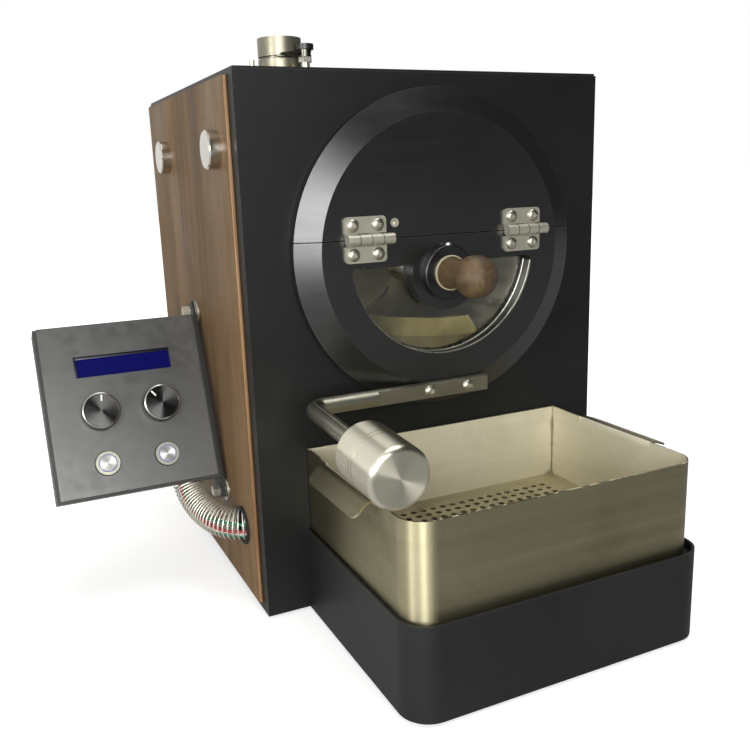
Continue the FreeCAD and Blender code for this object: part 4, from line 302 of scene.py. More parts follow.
def turned_steel(name, tint, centre, axis, rough=0.2, cuts=0.1, spread=0.8):
    """Lathe-turned steel: rings too fine to see that pull each light into a fan through the centre."""
    made, tree, shader, here = start(name, Metallic=1.0, Anisotropic=spread)
    base = colour(tint)
    away = add(tree, "VectorMath", {"operation": "SUBTRACT", 1: centre}, here)
    groove = add(tree, "VectorMath", {"operation": "CROSS_PRODUCT", 0: axis}, (away, "Vector", 1))
    world = add(tree, "VectorTransform", {"vector_type": "VECTOR", "convert_from": "OBJECT",
                                          "convert_to": "WORLD"}, (groove, "Vector", "Vector"))
    flat = add(tree, "NewGeometry")
    across = add(tree, "VectorMath", {"operation": "CROSS_PRODUCT"}, (flat, "Normal", 0),
                 (world, "Vector", 1))
    tangent = add(tree, "VectorMath", {"operation": "NORMALIZE"}, (across, "Vector", 0))
    tree.links.new(tangent.outputs["Vector"], shader.inputs["Tangent"])
    far = add(tree, "VectorMath", {"operation": "LENGTH"}, (groove, "Vector", 0))
    # Tool marks are 0.1 mm apart; drawn 0.7 mm so that they just show
    rings = add(tree, "TexNoise", {"noise_dimensions": "1D", "Scale": 1400.0, "Detail": 2.0},
                (far, "Value", "W"))
    tone = add(tree, "ValToRGB", {"stops": [(0.3, shade(base, 0.96)), (0.7, base)]},
               (rings, "Fac", "Fac"))
    dull = add(tree, "MapRange", {"span": (0.3, 0.7, rough - 0.01, rough + 0.01)}, (rings, "Fac", "Value"))
    lead(tree, shader, (tone, "Color"), (dull, "Result"), (rings, "Fac"), cuts, 0.004)
    return made


def moulded(name, tint, rough=0.5, grain=0.1, gloss=0.4):
    """Moulded plastic or rubber: an even colour with a slight cloud and a fine spark-eroded grain."""
    made, tree, shader, here = start(name, Specular_IOR_Level=gloss)
    base = colour(tint)
    # The grain of the mould is about 0.8 mm
    fine = add(tree, "TexNoise", {"Scale": 1.0 / (0.8 * MM), "Detail": 2.0}, here)
    cloud = add(tree, "TexNoise", {"Scale": 60.0, "Detail": 4.0}, here)
    tone = add(tree, "ValToRGB", {"stops": [(0.3, shade(base, 0.82)), (0.7, shade(base, 1.15))]},
               (cloud, "Fac", "Fac"))
    dull = add(tree, "MapRange", {"span": (0.3, 0.7, rough - 0.05, rough + 0.07)}, (cloud, "Fac", "Value"))
    lead(tree, shader, (tone, "Color"), (dull, "Result"), (fine, "Fac"), grain, 0.1)
    return made


def float_glass():
    """Drawn borosilicate plate: clear with a faint grey and a light haze of roast dust."""
    made, tree, shader, here = start("borosilicate_plate", Metallic=0.0, Roughness=0.03, IOR=1.47,
                                     Transmission_Weight=1.0)
    haze = add(tree, "TexNoise", {"Scale": 70.0, "Detail": 5.0}, here)
    tone = add(tree, "ValToRGB", {"stops": [(0.35, colour("#f2f4f0")), (0.75, colour("#d9dcd2"))]},
               (haze, "Fac", "Fac"))
    film = add(tree, "MapRange", {"span": (0.4, 0.8, 0.02, 0.1)}, (haze, "Fac", "Value"))
    lead(tree, shader, (tone, "Color"), (film, "Result"))
    # Lamps reach the drum through the plate as they do through real glass
    clear = add(tree, "BsdfTransparent", {"Color": (0.93, 0.95, 0.92, 1)})
    path = add(tree, "LightPath")
    both = add(tree, "MixShader", {}, (path, "Is Shadow Ray", 0), (shader, "BSDF", 1),
               (clear, "BSDF", 2))
    tree.links.new(both.outputs["Shader"], tree.nodes["Material Output"].inputs["Surface"])
    return made


def lit_display(middle):
    """Negative blue liquid crystal: deep blue that glows, with its empty character cells just seen."""
    made, tree, shader, here = start("lit_liquid_crystal", Roughness=0.3, Specular_IOR_Level=0.05,
                                     Emission_Strength=0.35)
    blue = colour(bpy.context.scene.roaster_colours.display)
    place = add(tree, "Mapping", {"vector_type": "POINT", "Location": tuple(-c for c in middle)}, here)
    # Character cells stand 3.6 mm apart, in rows 6.2 mm apart
    cells = add(tree, "TexBrick", {"offset": 0.0, "Color1": grey(1.0), "Color2": grey(0.94),
                                   "Mortar": grey(0.8), "Scale": 1.0, "Mortar Size": 0.0002,
                                   "Brick Width": 0.0036, "Row Height": 0.0062},
                (place, "Vector", "Vector"))
    tone = add(tree, "Mix", {"data_type": "RGBA", "blend_type": "MULTIPLY", FACTOR: 1.0, TINT_A: blue},
               (cells, "Color", TINT_B))
    lead(tree, shader, (tone, MIXED))
    tree.links.new(tone.outputs[MIXED], shader.inputs["Emission Color"])
    return made


def lit_ring(name, tint, glow):
    """Frosted ring with small lamps behind it: pale violet light, brighter in spots."""
    made, tree, shader, here = start(name, Roughness=0.3, Specular_IOR_Level=0.4,
                                     Emission_Strength=glow)
    spots = add(tree, "TexNoise", {"Scale": 420.0, "Detail": 1.0}, here)
    tone = add(tree, "ValToRGB", {"stops": [(0.3, shade(colour(tint), 0.55)), (0.7, colour(tint))]},
               (spots, "Fac", "Fac"))
    lead(tree, shader, (tone, "Color"))
    tree.links.new(tone.outputs["Color"], shader.inputs["Emission Color"])
    return made


def wood_edge():
    """Sanded panel edge where the core shows: a warm orange tan with thin darker plies."""
    made, tree, shader, here = start("sanded_walnut_edge", Roughness=0.5)
    place = add(tree, "Mapping", {"Scale": (900, 120, 14)}, here)
    plies = add(tree, "TexNoise", {"Scale": 1.0, "Detail": 4.0}, (place, "Vector", "Vector"))
    tone = add(tree, "ValToRGB", {"stops": [(0.3, colour("#75532f")), (0.7, colour("#a58055"))]},
               (plies, "Fac", "Fac"))
    lead(tree, shader, (tone, "Color"), None, (plies, "Fac"), 0.2, 0.1)
    return made


def dried_corners(made, corner):
    """Adds the brown run-off that dries in the two upright corners at the tray's back."""
    tree = made.node_tree
    shader = tree.nodes["Principled BSDF"]
    under = shader.inputs["Base Color"].links[0].from_node
    here = (add(tree, "TexCoord"), "Object", "Vector")
    # Absolute places fold the tray about its middle plane, so one corner stands for both; its y,
    # which is below zero all over, only changes sign
    mirrored = add(tree, "VectorMath", {"operation": "ABSOLUTE"}, here)
    away = add(tree, "VectorMath", {"operation": "SUBTRACT", 1: corner}, (mirrored, "Vector", 0))
    level = add(tree, "VectorMath", {"operation": "MULTIPLY", 1: (1, 1, 0)}, (away, "Vector", 0))
    far = add(tree, "VectorMath", {"operation": "LENGTH"}, (level, "Vector", 0))
    cloud = add(tree, "TexNoise", {"Scale": 90.0, "Detail": 5.0}, here)
    reach = add(tree, "MapRange", {"span": (0.4, 0.7, 0.5 * MM, 3.0 * MM)}, (cloud, "Fac", "Value"))
    # It spreads over the last few millimetres above the floor
    height = add(tree, "SeparateXYZ", {}, (away, "Vector", 0))
    splash = add(tree, "MapRange", {"span": (9.0 * MM, 0.0, 1.0, 3.5)}, (height, "Z", "Value"))
    wide = add(tree, "Math", {"operation": "MULTIPLY"}, (reach, "Result", 0), (splash, "Result", 1))
    share = add(tree, "Math", {"operation": "DIVIDE"}, (far, "Value", 0), (wide, "Value", 1))
    stain = add(tree, "ValToRGB", {"stops": [(0.3, grey(0.62)), (1.0, grey(0.0))]},
                (share, "Value", "Fac"))
    tinted = add(tree, "Mix", {"data_type": "RGBA", TINT_B: colour("#6a5430")},
                 (stain, "Color", FACTOR), (under, MIXED, TINT_A))
    lead(tree, shader, (tinted, MIXED))


# Small tools for pieces

def finish_nodes(made, *names):
    """Puts a finish on solids of the frame, in place of their plain one."""
    for name in names:
        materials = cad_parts[name].data.materials
        materials.clear()
        materials.append(made)


def piece(name, work, body, made, slot, sharp=32.0, tidy=True):
    """Turns a finished bmesh into a named piece that rides on a body."""
    if tidy:
        clean(work)
    mesh = bpy.data.meshes.new(name)
    work.to_mesh(mesh)
    work.free()
    mesh.shade_smooth()
    mesh.set_sharp_from_angle(angle=math.radians(sharp))
    return seat(name, mesh, body, made, slot)


def seat(name, mesh, body, made, slot):
    """Links a mesh as an object, gives it its finish, and seats it on its body; its slot is not used."""
    thing = bpy.data.objects.new(name, mesh)
    bpy.context.scene.collection.objects.link(thing)
    for one in (made if isinstance(made, (list, tuple)) else [made]):
        mesh.materials.append(one)
    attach(thing, body)
    return thing


def clean(work):
    """Merges doubled points and turns all faces outwards."""
    bmesh.ops.remove_doubles(work, verts=work.verts, dist=1e-6)
    bmesh.ops.recalc_face_normals(work, faces=work.faces)


def lathe(work, outline_mm, centre, axis, steps=48):
    """Spins an outline of (radius, height) points about an axis through a centre."""
    axis = Vector(axis).normalized()
    side = axis.orthogonal().normalized()
    line = [work.verts.new(Vector(centre) + side * (r * MM) + axis * (h * MM)) for r, h in outline_mm]
    edges = [work.edges.new(pair) for pair in zip(line, line[1:])]
    bmesh.ops.spin(work, geom=line + edges, cent=centre, axis=axis, angle=math.tau,
                   steps=steps, use_merge=True, use_duplicate=False)


def bar(work, size, middle=(0, 0, 0)):
    """Adds a block of this size."""
    verts = bmesh.ops.create_cube(work, size=1.0)["verts"]
    bmesh.ops.scale(work, vec=size, verts=verts)
    bmesh.ops.translate(work, vec=middle, verts=verts)


def ease(work, offset_mm):
    """Takes the sharpness off every edge."""
    bmesh.ops.bevel(work, geom=work.edges[:], offset=offset_mm * MM, segments=2, profile=0.5,
                    affect="EDGES", material=-1)


# Pieces, each group with its own operator

class ROASTER_OT_cabinet(bpy.types.Operator):
    """Powder coat on the cabinet, cover, base and decks."""

    bl_idname = "roaster.cabinet"
    bl_label = "Cabinet and base"

    def execute(self, context):
        finish_nodes(black_powder_coat(gloss=0.3), "cabinet_shell", "top_cover", "rear_panel")
        base = black_powder_coat("powder_coated_base", "#0d0f0d", 0.5, 0.32)
        finish_nodes(base, "bottom_plate", "base_housing")
        inner = black_powder_coat("powder_coated_deck", "#1c1d1b", 0.5, 0.25)
        finish_nodes(inner, "fan_deck", "housing_saddles", "motor_mount", "box_bracket")
        rubber = moulded("moulded_rubber", "#1a1a19", 0.75, 0.2, 0.3)
        finish_nodes(rubber, "rubber_feet", "panel_grommet")
        plastic = moulded("moulded_polyamide", "#1b1c1d", 0.45, 0.15)
        finish_nodes(plastic, "cooling_fan_frame", "cooling_impeller", "mains_inlet")
        return {"FINISHED"}


class ROASTER_OT_panels(bpy.types.Operator):
    """Walnut veneer on the sides and the steel caps that hold it."""

    bl_idname = "roaster.panels"
    bl_label = "Wood panels and caps"

    def execute(self, context):
        sides = ("wood_panel_left", "wood_panel_right")
        finish_nodes(walnut("oiled_walnut_veneer", context.scene.roaster_colours.veneer), *sides)
        finish_nodes(worked_steel("polished_steel_cap", "#c9c5ba", 0.14, depth=0.03), "panel_caps")
        # The bare front edge of each panel is a strip 0.3 mm thick, with its arrises eased
        edge = wood_edge()
        for name in sides:
            low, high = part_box(name)
            work = bmesh.new()
            bar(work, (high[0] - low[0] - 0.6 * MM, 0.3 * MM, high[2] - low[2] - 1.0 * MM),
                ((low[0] + high[0]) / 2, low[1] - 0.1 * MM, (low[2] + high[2]) / 2))
            ease(work, 0.1)
            piece(name.replace("wood_panel", "edge_strip"), work, "cabinet", edge, "walnut")
        return {"FINISHED"}


class ROASTER_OT_door(bpy.types.Operator):
    """The round front: upper disc, discharge door, glass, its ring and two bright beads."""

    bl_idname = "roaster.door"
    bl_label = "Disc, door and glass"

    def execute(self, context):
        coat = black_powder_coat("powder_coated_plate", "#090a09", 0.3, 0.72)
        finish_nodes(coat, "upper_disc", "discharge_door")
        finish_nodes(float_glass(), "door_glass")
        finish_nodes(worked_steel("pressed_steel_ring", "#8c8a80", 0.28, depth=0.05), "glass_ring")
        # The beads follow the window's round edge, one at the plate and one on the glass
        chrome = worked_steel("drawn_bead_wire", "#d6d3c4", 0.3, depth=0.02, metal=0.85)
        for name, radius, y, wire in (("window_bead", 67.7, -13.6, 0.24),
                                      ("glass_bead", 67.5, -6.3, 0.36)):
            centre = Vector((0, y * MM, DRUM_AXIS_UP))
            first = Matrix.Translation(centre) @ Matrix.Rotation(BEAD_START, 4, "Y")
            work = bmesh.new()
            bmesh.ops.create_circle(work, cap_ends=True, radius=wire * MM, segments=10,
                                    matrix=first @ Matrix.Translation((radius * MM, 0, 0)))
            bmesh.ops.spin(work, geom=work.verts[:] + work.edges[:] + work.faces[:], cent=centre,
                           axis=(0, 1, 0), angle=math.pi - 2 * BEAD_START, steps=72,
                           use_duplicate=False)
            bmesh.ops.holes_fill(work, edges=work.edges[:], sides=12)
            piece(name, work, "door", chrome, "drum_steel", 60.0)
        return {"FINISHED"}


def screw_head(recess):
    """A domed head with a cross recess cut in it, its seat at the origin and its top along -Y."""
    dome, cross = bmesh.new(), bmesh.new()
    lathe(dome, SCREW_DOME, (0, 0, 0), (0, -1, 0), 24)
    clean(dome)
    reach, deep, middle = 2.9 * MM, 2.4 * MM, (0, -2.1 * MM, 0)
    bar(cross, (reach, deep, recess), middle)
    bar(cross, (recess, deep, reach), middle)
    made = []
    for name, work in (("head", dome), ("cross", cross)):
        mesh = bpy.data.meshes.new(name)
        work.to_mesh(mesh)
        work.free()
        made.append(bpy.data.objects.new(name, mesh))
        bpy.context.scene.collection.objects.link(made[-1])
    head, cutter = made
    cut = head.modifiers.new("recess", "BOOLEAN")
    cut.operation, cut.object, cut.solver, cut.use_self = "DIFFERENCE", cutter, "EXACT", True
    result = bpy.data.meshes.new_from_object(head.evaluated_get(bpy.context.evaluated_depsgraph_get()))
    for thing in made:
        bpy.data.objects.remove(thing)
    return result


def set_screws(name, places, body, made):
    """Copies the cross-recessed head to each place, each turned as it was driven home."""
    head = screw_head(bpy.context.scene.roaster_sizes.recess_width)
    work = bmesh.new()
    for number, spot in enumerate(places):
        before = len(work.verts)
        work.from_mesh(head)
        work.verts.ensure_lookup_table()
        turn = Matrix.Translation(spot) @ Matrix.Rotation(0.7 + 1.9 * number, 4, "Y")
        bmesh.ops.transform(work, matrix=turn, verts=work.verts[before:])
    piece(name, work, body, made, "fasteners", 28.0)


class ROASTER_OT_hinges(bpy.types.Operator):
    """Cast steel leaves, pins, painted shadow in the knuckle gaps, and domed screws."""

    bl_idname = "roaster.hinges"
    bl_label = "Hinges and screws"

    def execute(self, context):
        cast = worked_steel("tumbled_cast_steel", "#bdbaa9", 0.38, depth=0.3, stain=0.15, metal=0.75)
        finish_nodes(cast, "hinge_leaves_upper", "hinge_leaves_lower")
        bright = worked_steel("rolled_steel_screws", "#d2cdbd", 0.34, depth=0.1, metal=0.8)
        finish_nodes(bright, "pins_and_screws", "door_screws", "bracket_bolts", "damper_bolts")
        # Thin dark washers round the pin in the gaps between the knuckles are painted shade, where the real
        # gaps are dark only from shadow
        rings = bmesh.new()
        for centre in HINGES_ACROSS_MM:
            first = centre - LEAF_WIDTH_MM / 2 + KNUCKLES_IN_MM
            for number in (1, 2, 3):
                left = (first + number * KNUCKLE_STEP_MM) * MM
                lathe(rings, KNUCKLE_GAP, (left, PIN_Y, PIN_Z), (1, 0, 0), 24)
        gap = moulded("painted_gap_shadow", "#0b0b0a", 0.8, 0.05, 0.1)
        piece("knuckle_gap_shadows", rings, "cabinet", gap, "fasteners")
        domed = worked_steel("rolled_domed_screws", "#b5b1a3", 0.34, depth=0.1)
        across = [(centre + way * HINGE_SCREW_ACROSS_MM) * MM
                  for centre in HINGES_ACROSS_MM for way in (-1, 1)]
        for name, body, up in (("hinge_screws_upper", "cabinet", UPPER_SCREWS_UP),
                               ("hinge_screws_lower", "door", LOWER_SCREWS_UP)):
            set_screws(name, [(x, LEAF_FACE_Y, up) for x in across], body, domed)
        lever = [(x * MM, LEVER_FACE_Y, LEVER_SCREWS_UP) for x in LEVER_SCREWS_ACROSS_MM]
        set_screws("lever_screws", lever, "door", domed)
        return {"FINISHED"}


class ROASTER_OT_lever(bpy.types.Operator):
    """The lever rod and its turned weight."""

    bl_idname = "roaster.lever"
    bl_label = "Lever and weight"

    def execute(self, context):
        rod = worked_steel("drawn_steel_rod", "#b4b1a0", 0.34, (1, 1, 0.03), depth=0.12, stain=0.2,
                           anisotropic=0.7)
        finish_nodes(rod, "lever_arm")
        low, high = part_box("counterweight")
        middle = (Vector(low) + Vector(high)) / 2
        # The rod's end, and the weight on it, dip a little towards the tray
        dip = math.radians(3.5)
        axis = (0, -math.cos(dip), -math.sin(dip))
        turned = turned_steel("turned_steel_weight", "#cfcbb9", tuple(middle), axis, 0.29, 0.03, 0.95)
        finish_nodes(turned, "counterweight")
        return {"FINISHED"}


class ROASTER_OT_sampler(bpy.types.Operator):
    """The bean sampler: boss with its set screw, tube, bright ring and walnut handle."""

    bl_idname = "roaster.sampler"
    bl_label = "Bean sampler"

    def execute(self, context):
        finish_nodes(black_powder_coat("blackened_steel_boss", "#0e0f0f", 0.26, 0.5), "sampler_boss")
        # A bright set screw stands on top of the boss and holds the tube's sleeve
        low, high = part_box("sampler_boss")
        work = bmesh.new()
        seat_place = ((low[0] + high[0]) / 2, low[1] + 2.4 * MM, high[2] - 0.3 * MM)
        lathe(work, SET_SCREW, seat_place, (0, 0, 1), 24)
        polished = worked_steel("polished_set_screw", "#dedbce", 0.24, depth=0.03)
        piece("boss_set_screw", work, "door", polished, "fasteners")
        tube = worked_steel("drawn_steel_tube", "#b9b6aa", 0.2, (1, 0.05, 1), depth=0.08, stain=0.3)
        finish_nodes(tube, "sampler_tube")
        ring = worked_steel("polished_ring", "#d9cfae", 0.4, depth=0.02, metal=0.5)
        finish_nodes(ring, "sampler_ferrule")
        wood = walnut("turned_walnut", context.scene.roaster_colours.handle, (1, 0.12, 1), 0.5, 2.0)
        finish_nodes(wood, "sampler_handle")
        return {"FINISHED"}


class ROASTER_OT_drum(bpy.types.Operator):
    """The drum, its flights and vanes, and what turns and heats it."""

    bl_idname = "roaster.drum"
    bl_label = "Drum and drive"

    def execute(self, context):
        rolled = {"lines": (1, 0.04, 1), "depth": 0.08, "stain": 0.5, "stain_tint": "#5c5234"}
        finish_nodes(worked_steel("rolled_drum_steel", "#b4b09c", 0.3, **rolled), "drum_shell")
        brass = worked_steel("rolled_brass", context.scene.roaster_colours.brass, 0.34, (1, 0.05, 1),
                             depth=0.1, stain=0.4, stain_tint="#5a4218", stain_size=18.0, metal=0.7)
        finish_nodes(brass, "drum_flights")
        vane = worked_steel("heat_tinted_steel", "#5e5848", 0.4, (1, 1, 0.1), depth=0.1, stain=0.5)
        finish_nodes(vane, "drum_vanes")
        sheet = worked_steel("galvanised_sheet", "#8f9190", 0.42, depth=0.15, stain=0.4,
                             stain_tint="#6b6d6c")
        finish_nodes(sheet, "drum_housing", "housing_rear", "shaft_bearing")
        ground = worked_steel("ground_steel_shaft", "#b0aea6", 0.24)
        finish_nodes(ground, "drum_shaft", "shaft_coupling")
        sheath = worked_steel("annealed_sheath", "#7d776c", 0.4, (1, 0.05, 1), depth=0.1, stain=0.6)
        finish_nodes(sheath, "heating_rods")
        finish_nodes(moulded("stoved_enamel", "#2a2c2d", 0.35, 0.1, 0.5), "gear_motor")
        return {"FINISHED"}


class ROASTER_OT_exhaust(bpy.types.Operator):
    """The exhaust pipe with its collar, damper and black knob."""

    bl_idname = "roaster.exhaust"
    bl_label = "Exhaust pipe and damper"

    def execute(self, context):
        pipe = worked_steel("polished_pipe_steel", "#8f8b79", 0.38, (1, 1, 0.05), depth=0.1,
                            stain=0.3, anisotropic=0.2, metal=0.8)
        finish_nodes(pipe, "exhaust_pipe", "pipe_collar")
        blued = worked_steel("blued_damper_steel", "#5b5a52", 0.32, depth=0.1, stain=0.3)
        finish_nodes(blued, "damper_plate")
        finish_nodes(moulded("moulded_phenolic_knob", "#161616", 0.35, 0.1, 0.5), "damper_knob")
        return {"FINISHED"}


def punched_blank(low, high, sizes):
    """The tray's floor as a flat blank with rounded front corners and rows of holes, then given
    its thickness."""
    work = bmesh.new()
    corners = [(low[0], high[1]), (low[0], low[1]), (high[0], low[1]), (high[0], high[1])]
    blank = [work.verts.new((x, y, high[2])) for x, y in corners]
    for number in range(4):
        work.edges.new((blank[number], blank[(number + 1) % 4]))
    corner_radius, side_margin, end_margin, back_margin = 14.8 * MM, 20 * MM, 37 * MM, 16.7 * MM
    bmesh.ops.bevel(work, geom=blank[1:3], offset=corner_radius, segments=8, profile=0.5,
                    affect="VERTICES", material=-1, offset_type="OFFSET")
    pitch = sizes.hole_pitch
    columns = int((high[0] - low[0] - 2 * side_margin) / pitch / 2)
    rows = int((high[1] - low[1] - end_margin) / pitch)
    for row in range(rows + 1):
        for column in range(-columns, columns + 1):
            spot = Matrix.Translation((column * pitch, high[1] - back_margin - row * pitch, high[2]))
            bmesh.ops.create_circle(work, cap_ends=False, radius=sizes.hole_width / 2, segments=12,
                                    matrix=spot)
    bmesh.ops.triangle_fill(work, use_beauty=True, use_dissolve=False, edges=work.edges[:])
    bmesh.ops.recalc_face_normals(work, faces=work.faces)
    if sum(face.normal.z for face in work.faces) < 0:
        bmesh.ops.reverse_faces(work, faces=work.faces)
    bmesh.ops.solidify(work, geom=work.faces[:], thickness=high[2] - low[2])
    return work


class ROASTER_OT_tray(bpy.types.Operator):
    """The cooling tray: satin steel walls and a punched floor with real holes."""

    bl_idname = "roaster.tray"
    bl_label = "Cooling tray"

    def execute(self, context):
        low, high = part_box("tray_floor")
        satin = worked_steel("satin_tray_steel", context.scene.roaster_colours.tray, 0.42,
                             LEVEL_LINES, depth=0.05, stain=0.25, anisotropic=0.85)
        finish_nodes(satin, "tray_walls")
        # The inner walls' finish: rougher, as beans dull it, and paler and less metallic than the outer
        # walls, which is painted light
        dull = worked_steel("bean_dulled_steel_painted_pale", "#dfd9c0", 0.5, LEVEL_LINES, depth=0.05, stain=0.2,
                            stain_tint="#7a6638", stain_size=26.0, metal=0.4)
        dried_corners(dull, (high[0], -high[1], high[2]))
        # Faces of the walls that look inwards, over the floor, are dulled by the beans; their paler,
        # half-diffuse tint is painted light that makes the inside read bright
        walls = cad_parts["tray_walls"].data
        walls.materials.append(dull)
        centre = Vector(((low[0] + high[0]) / 2, (low[1] + high[1]) / 2, 0))
        for face in walls.polygons:
            way = centre - face.center
            inwards = Vector((way.x, way.y, 0)).dot(face.normal)
            over = abs(face.center.x) < high[0] + 2 * MM and face.center.y > low[1] - 1.2 * MM
            if inwards > 1 * MM and over:
                face.material_index = 1
        plate = worked_steel("punched_floor_steel", "#aaa283", 0.42, (0.05, 1, 1), depth=0.1,
                             stain=0.7, stain_tint="#57492c", stain_size=30.0, metal=0.6)
        work = punched_blank(low, high, context.scene.roaster_sizes)
        floor = piece("punched_floor", work, "tray", plate, "tray_steel", tidy=False)
        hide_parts("tray_floor")
        return {"FINISHED"}


class ROASTER_OT_control_box(bpy.types.Operator):
    """The leaning control box, its face plate, display and board."""

    bl_idname = "roaster.control_box"
    bl_label = "Control box and display"

    def execute(self, context):
        finish_nodes(black_powder_coat("powder_coated_box", "#2b2c29", 0.4, 0.3), "control_box")
        face = worked_steel("sanded_face_plate", "#5b5b59", 0.33, depth=0.3, stain=0.25,
                            stain_tint="#626260")
        finish_nodes(face, "control_face")
        finish_nodes(lit_display(PANEL @ Vector((0, 0, DISPLAY_UP))), "display")
        # A black strip above and at the left of the glass is painted shadow: a dark sheet where the
        # opening's edge shades the recessed display
        recess_shadow = bmesh.new()
        bar(recess_shadow, (64.4 * MM, 0.3 * MM, 1.5 * MM), (0, 1.85 * MM, 6.4 * MM))
        bar(recess_shadow, (1.3 * MM, 0.3 * MM, 14.2 * MM), (-31.5 * MM, 1.85 * MM, 0))
        ease(recess_shadow, 0.05)
        bmesh.ops.transform(recess_shadow, matrix=PANEL @ Matrix.Translation((0, 0, DISPLAY_UP)),
                            verts=recess_shadow.verts)
        # The strip's black is painted shadow
        black = moulded("painted_recess_shadow", "#0a0a0b", 0.35)
        piece("display_recess_shadow", recess_shadow, "cabinet", black, "display_blue", tidy=False)
        finish_nodes(moulded("masked_glass_laminate", "#1f4a2c", 0.4, 0.1), "control_board")
        return {"FINISHED"}


def knurled_dial(foot, count, depth):
    """A dial standing on its foot along the face's outward way, with every second line of its side
    pressed in."""
    work = bmesh.new()
    lathe(work, DIAL, foot, PANEL_OUT, count * 2)
    clean(work)
    around = PANEL_OUT.orthogonal().normalized()
    other = PANEL_OUT.cross(around)
    for vert in work.verts:
        from_foot = vert.co - foot
        up = from_foot.dot(PANEL_OUT)
        flat = from_foot - PANEL_OUT * up
        if flat.length > (DIAL_RADIUS_MM - 0.1) * MM and up > 0.4 * MM:
            line = round(math.atan2(flat.dot(other), flat.dot(around)) / math.tau * count * 2)
            if line % 2:
                vert.co -= flat.normalized() * depth
    # The face takes the second finish and the chamfer the third
    for one in work.faces:
        middle = one.calc_center_median() - foot
        up = middle.dot(PANEL_OUT)
        wide = (middle - PANEL_OUT * up).length
        if up > (DIAL_HEIGHT_MM - 0.85) * MM and wide < (DIAL_RADIUS_MM - 1.4) * MM:
            one.material_index = 1
        elif up > (DIAL_HEIGHT_MM - 0.95) * MM:
            one.material_index = 2
    return work


class ROASTER_OT_dials(bpy.types.Operator):
    """Two knurled dials with spun faces and a painted pointer."""

    bl_idname = "roaster.dials"
    bl_label = "Dials"

    def execute(self, context):
        sizes = context.scene.roaster_sizes
        side = moulded("anodised_knurl", "#1b1b1b", 0.35, 0.1, 0.5)
        rim = worked_steel("cut_aluminium_rim", "#a9a9a5", 0.3, depth=0.02)
        mark = moulded("pad_printed_white", "#e4e4de", 0.5, 0.05)
        for name, (across, turn) in DIALS.items():
            base = PANEL @ Vector((across, 0, DIAL_UP))
            foot = base + PANEL_OUT * 0.3 * MM
            face = turned_steel("spun_face_" + name, "#5f5f5d", tuple(base), tuple(PANEL_OUT),
                                0.15, 0.01, 0.97)
            work = knurled_dial(foot, sizes.knurl_count, sizes.knurl_depth)
            dial = piece("knurled_" + name, work, name, [side, face, rim], "dial_metal", 35.0)
            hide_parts(name)
            # The pointer is a thin painted bar on the sunk face, from the rim inwards
            pointer = bmesh.new()
            bar(pointer, (1.1 * MM, 0.12 * MM, POINTER_LONG_MM * MM))
            ease(pointer, 0.05)
            on_face = Matrix.Translation(foot + PANEL_OUT * (DIAL_HEIGHT_MM - 0.68) * MM)
            spot = (on_face @ PANEL.to_3x3().to_4x4() @ Matrix.Rotation(math.radians(turn), 4, "Y")
                    @ Matrix.Translation((0, 0, (DIAL_RADIUS_MM - POINTER_LONG_MM) * MM)))
            bmesh.ops.transform(pointer, matrix=spot, verts=pointer.verts)
            piece("pointer_" + name, pointer, name, mark, "dial_metal")
        return {"FINISHED"}


class ROASTER_OT_buttons(bpy.types.Operator):
    """Push buttons: nickel bezels, each with a lit ring let into it, and spun caps."""

    bl_idname = "roaster.buttons"
    bl_label = "Buttons"

    def execute(self, context):
        nickel = worked_steel("turned_nickel_bezel", "#8f8e7f", 0.3, depth=0.05)
        finish_nodes(nickel, "button_bezels")
        glow = lit_ring("frosted_lit_ring", "#6c6ca4", 0.4)
        # The dark ring round each bezel is painted shadow
        rubber = moulded("painted_bezel_shadow", "#141414", 0.6, 0.1, 0.3)
        for name, across in BUTTONS.items():
            base = PANEL @ Vector((across, 0, BUTTON_UP))
            cap = turned_steel("spun_" + name, "#a8a8a5", tuple(base), tuple(PANEL_OUT), 0.4, 0.1, 0.85)
            finish_nodes(cap, name)
            # The bezel holds the ring; the thin dark ring round it is painted shadow, the dark line where
            # the bezel's edge shades the face
            for kind, outline, made, slot in (("lit_ring_", LIT_RING, glow, "button_ring"),
                                              ("bezel_shadow_", BEZEL_SHADOW, rubber, "rubber")):
                work = bmesh.new()
                lathe(work, outline, base, PANEL_OUT)
                piece(kind + name, work, "cabinet", made, slot)
        return {"FINISHED"}


def line_mesh(name, kind, points, bevel=0.0, fineness=0):
    """A curve through points as a mesh: a bare line, or a round wire with closed ends."""
    curve = bpy.data.curves.new(name, "CURVE")
    curve.dimensions, curve.bevel_depth, curve.bevel_resolution = "3D", bevel, fineness
    curve.use_fill_caps, curve.resolution_u = bool(bevel), 1 if bevel else 40
    line = curve.splines.new(kind)
    line.points.add(len(points) - 1)
    for point, place in zip(line.points, points):
        point.co = (*place, 1)
    if kind == "NURBS":
        line.order_u, line.use_endpoint_u = 3, True
    thing = bpy.data.objects.new(name, curve)
    bpy.context.scene.collection.objects.link(thing)
    mesh = bpy.data.meshes.new_from_object(thing)
    bpy.data.objects.remove(thing)
    return mesh


def wound(path, turns, steps):
    """Walks a line evenly: gives each place, two directions square to the line, and a turning angle."""
    lengths = [0.0]
    for a, b in zip(path, path[1:]):
        lengths.append(lengths[-1] + (b - a).length)
    count, at = turns * steps, 0
    # The outer side of the conduit's bend
    outer = Vector((-0.55, -0.45, -0.7))
    for number in range(count + 1):
        want = lengths[-1] * number / count
        while at < len(path) - 2 and lengths[at + 1] < want:
            at += 1
        share = (want - lengths[at]) / (lengths[at + 1] - lengths[at])
        ahead = (path[at + 1] - path[at]).normalized()
        side = (outer - ahead * outer.dot(ahead)).normalized()
        yield path[at].lerp(path[at + 1], share), side, ahead.cross(side), math.tau * number / steps


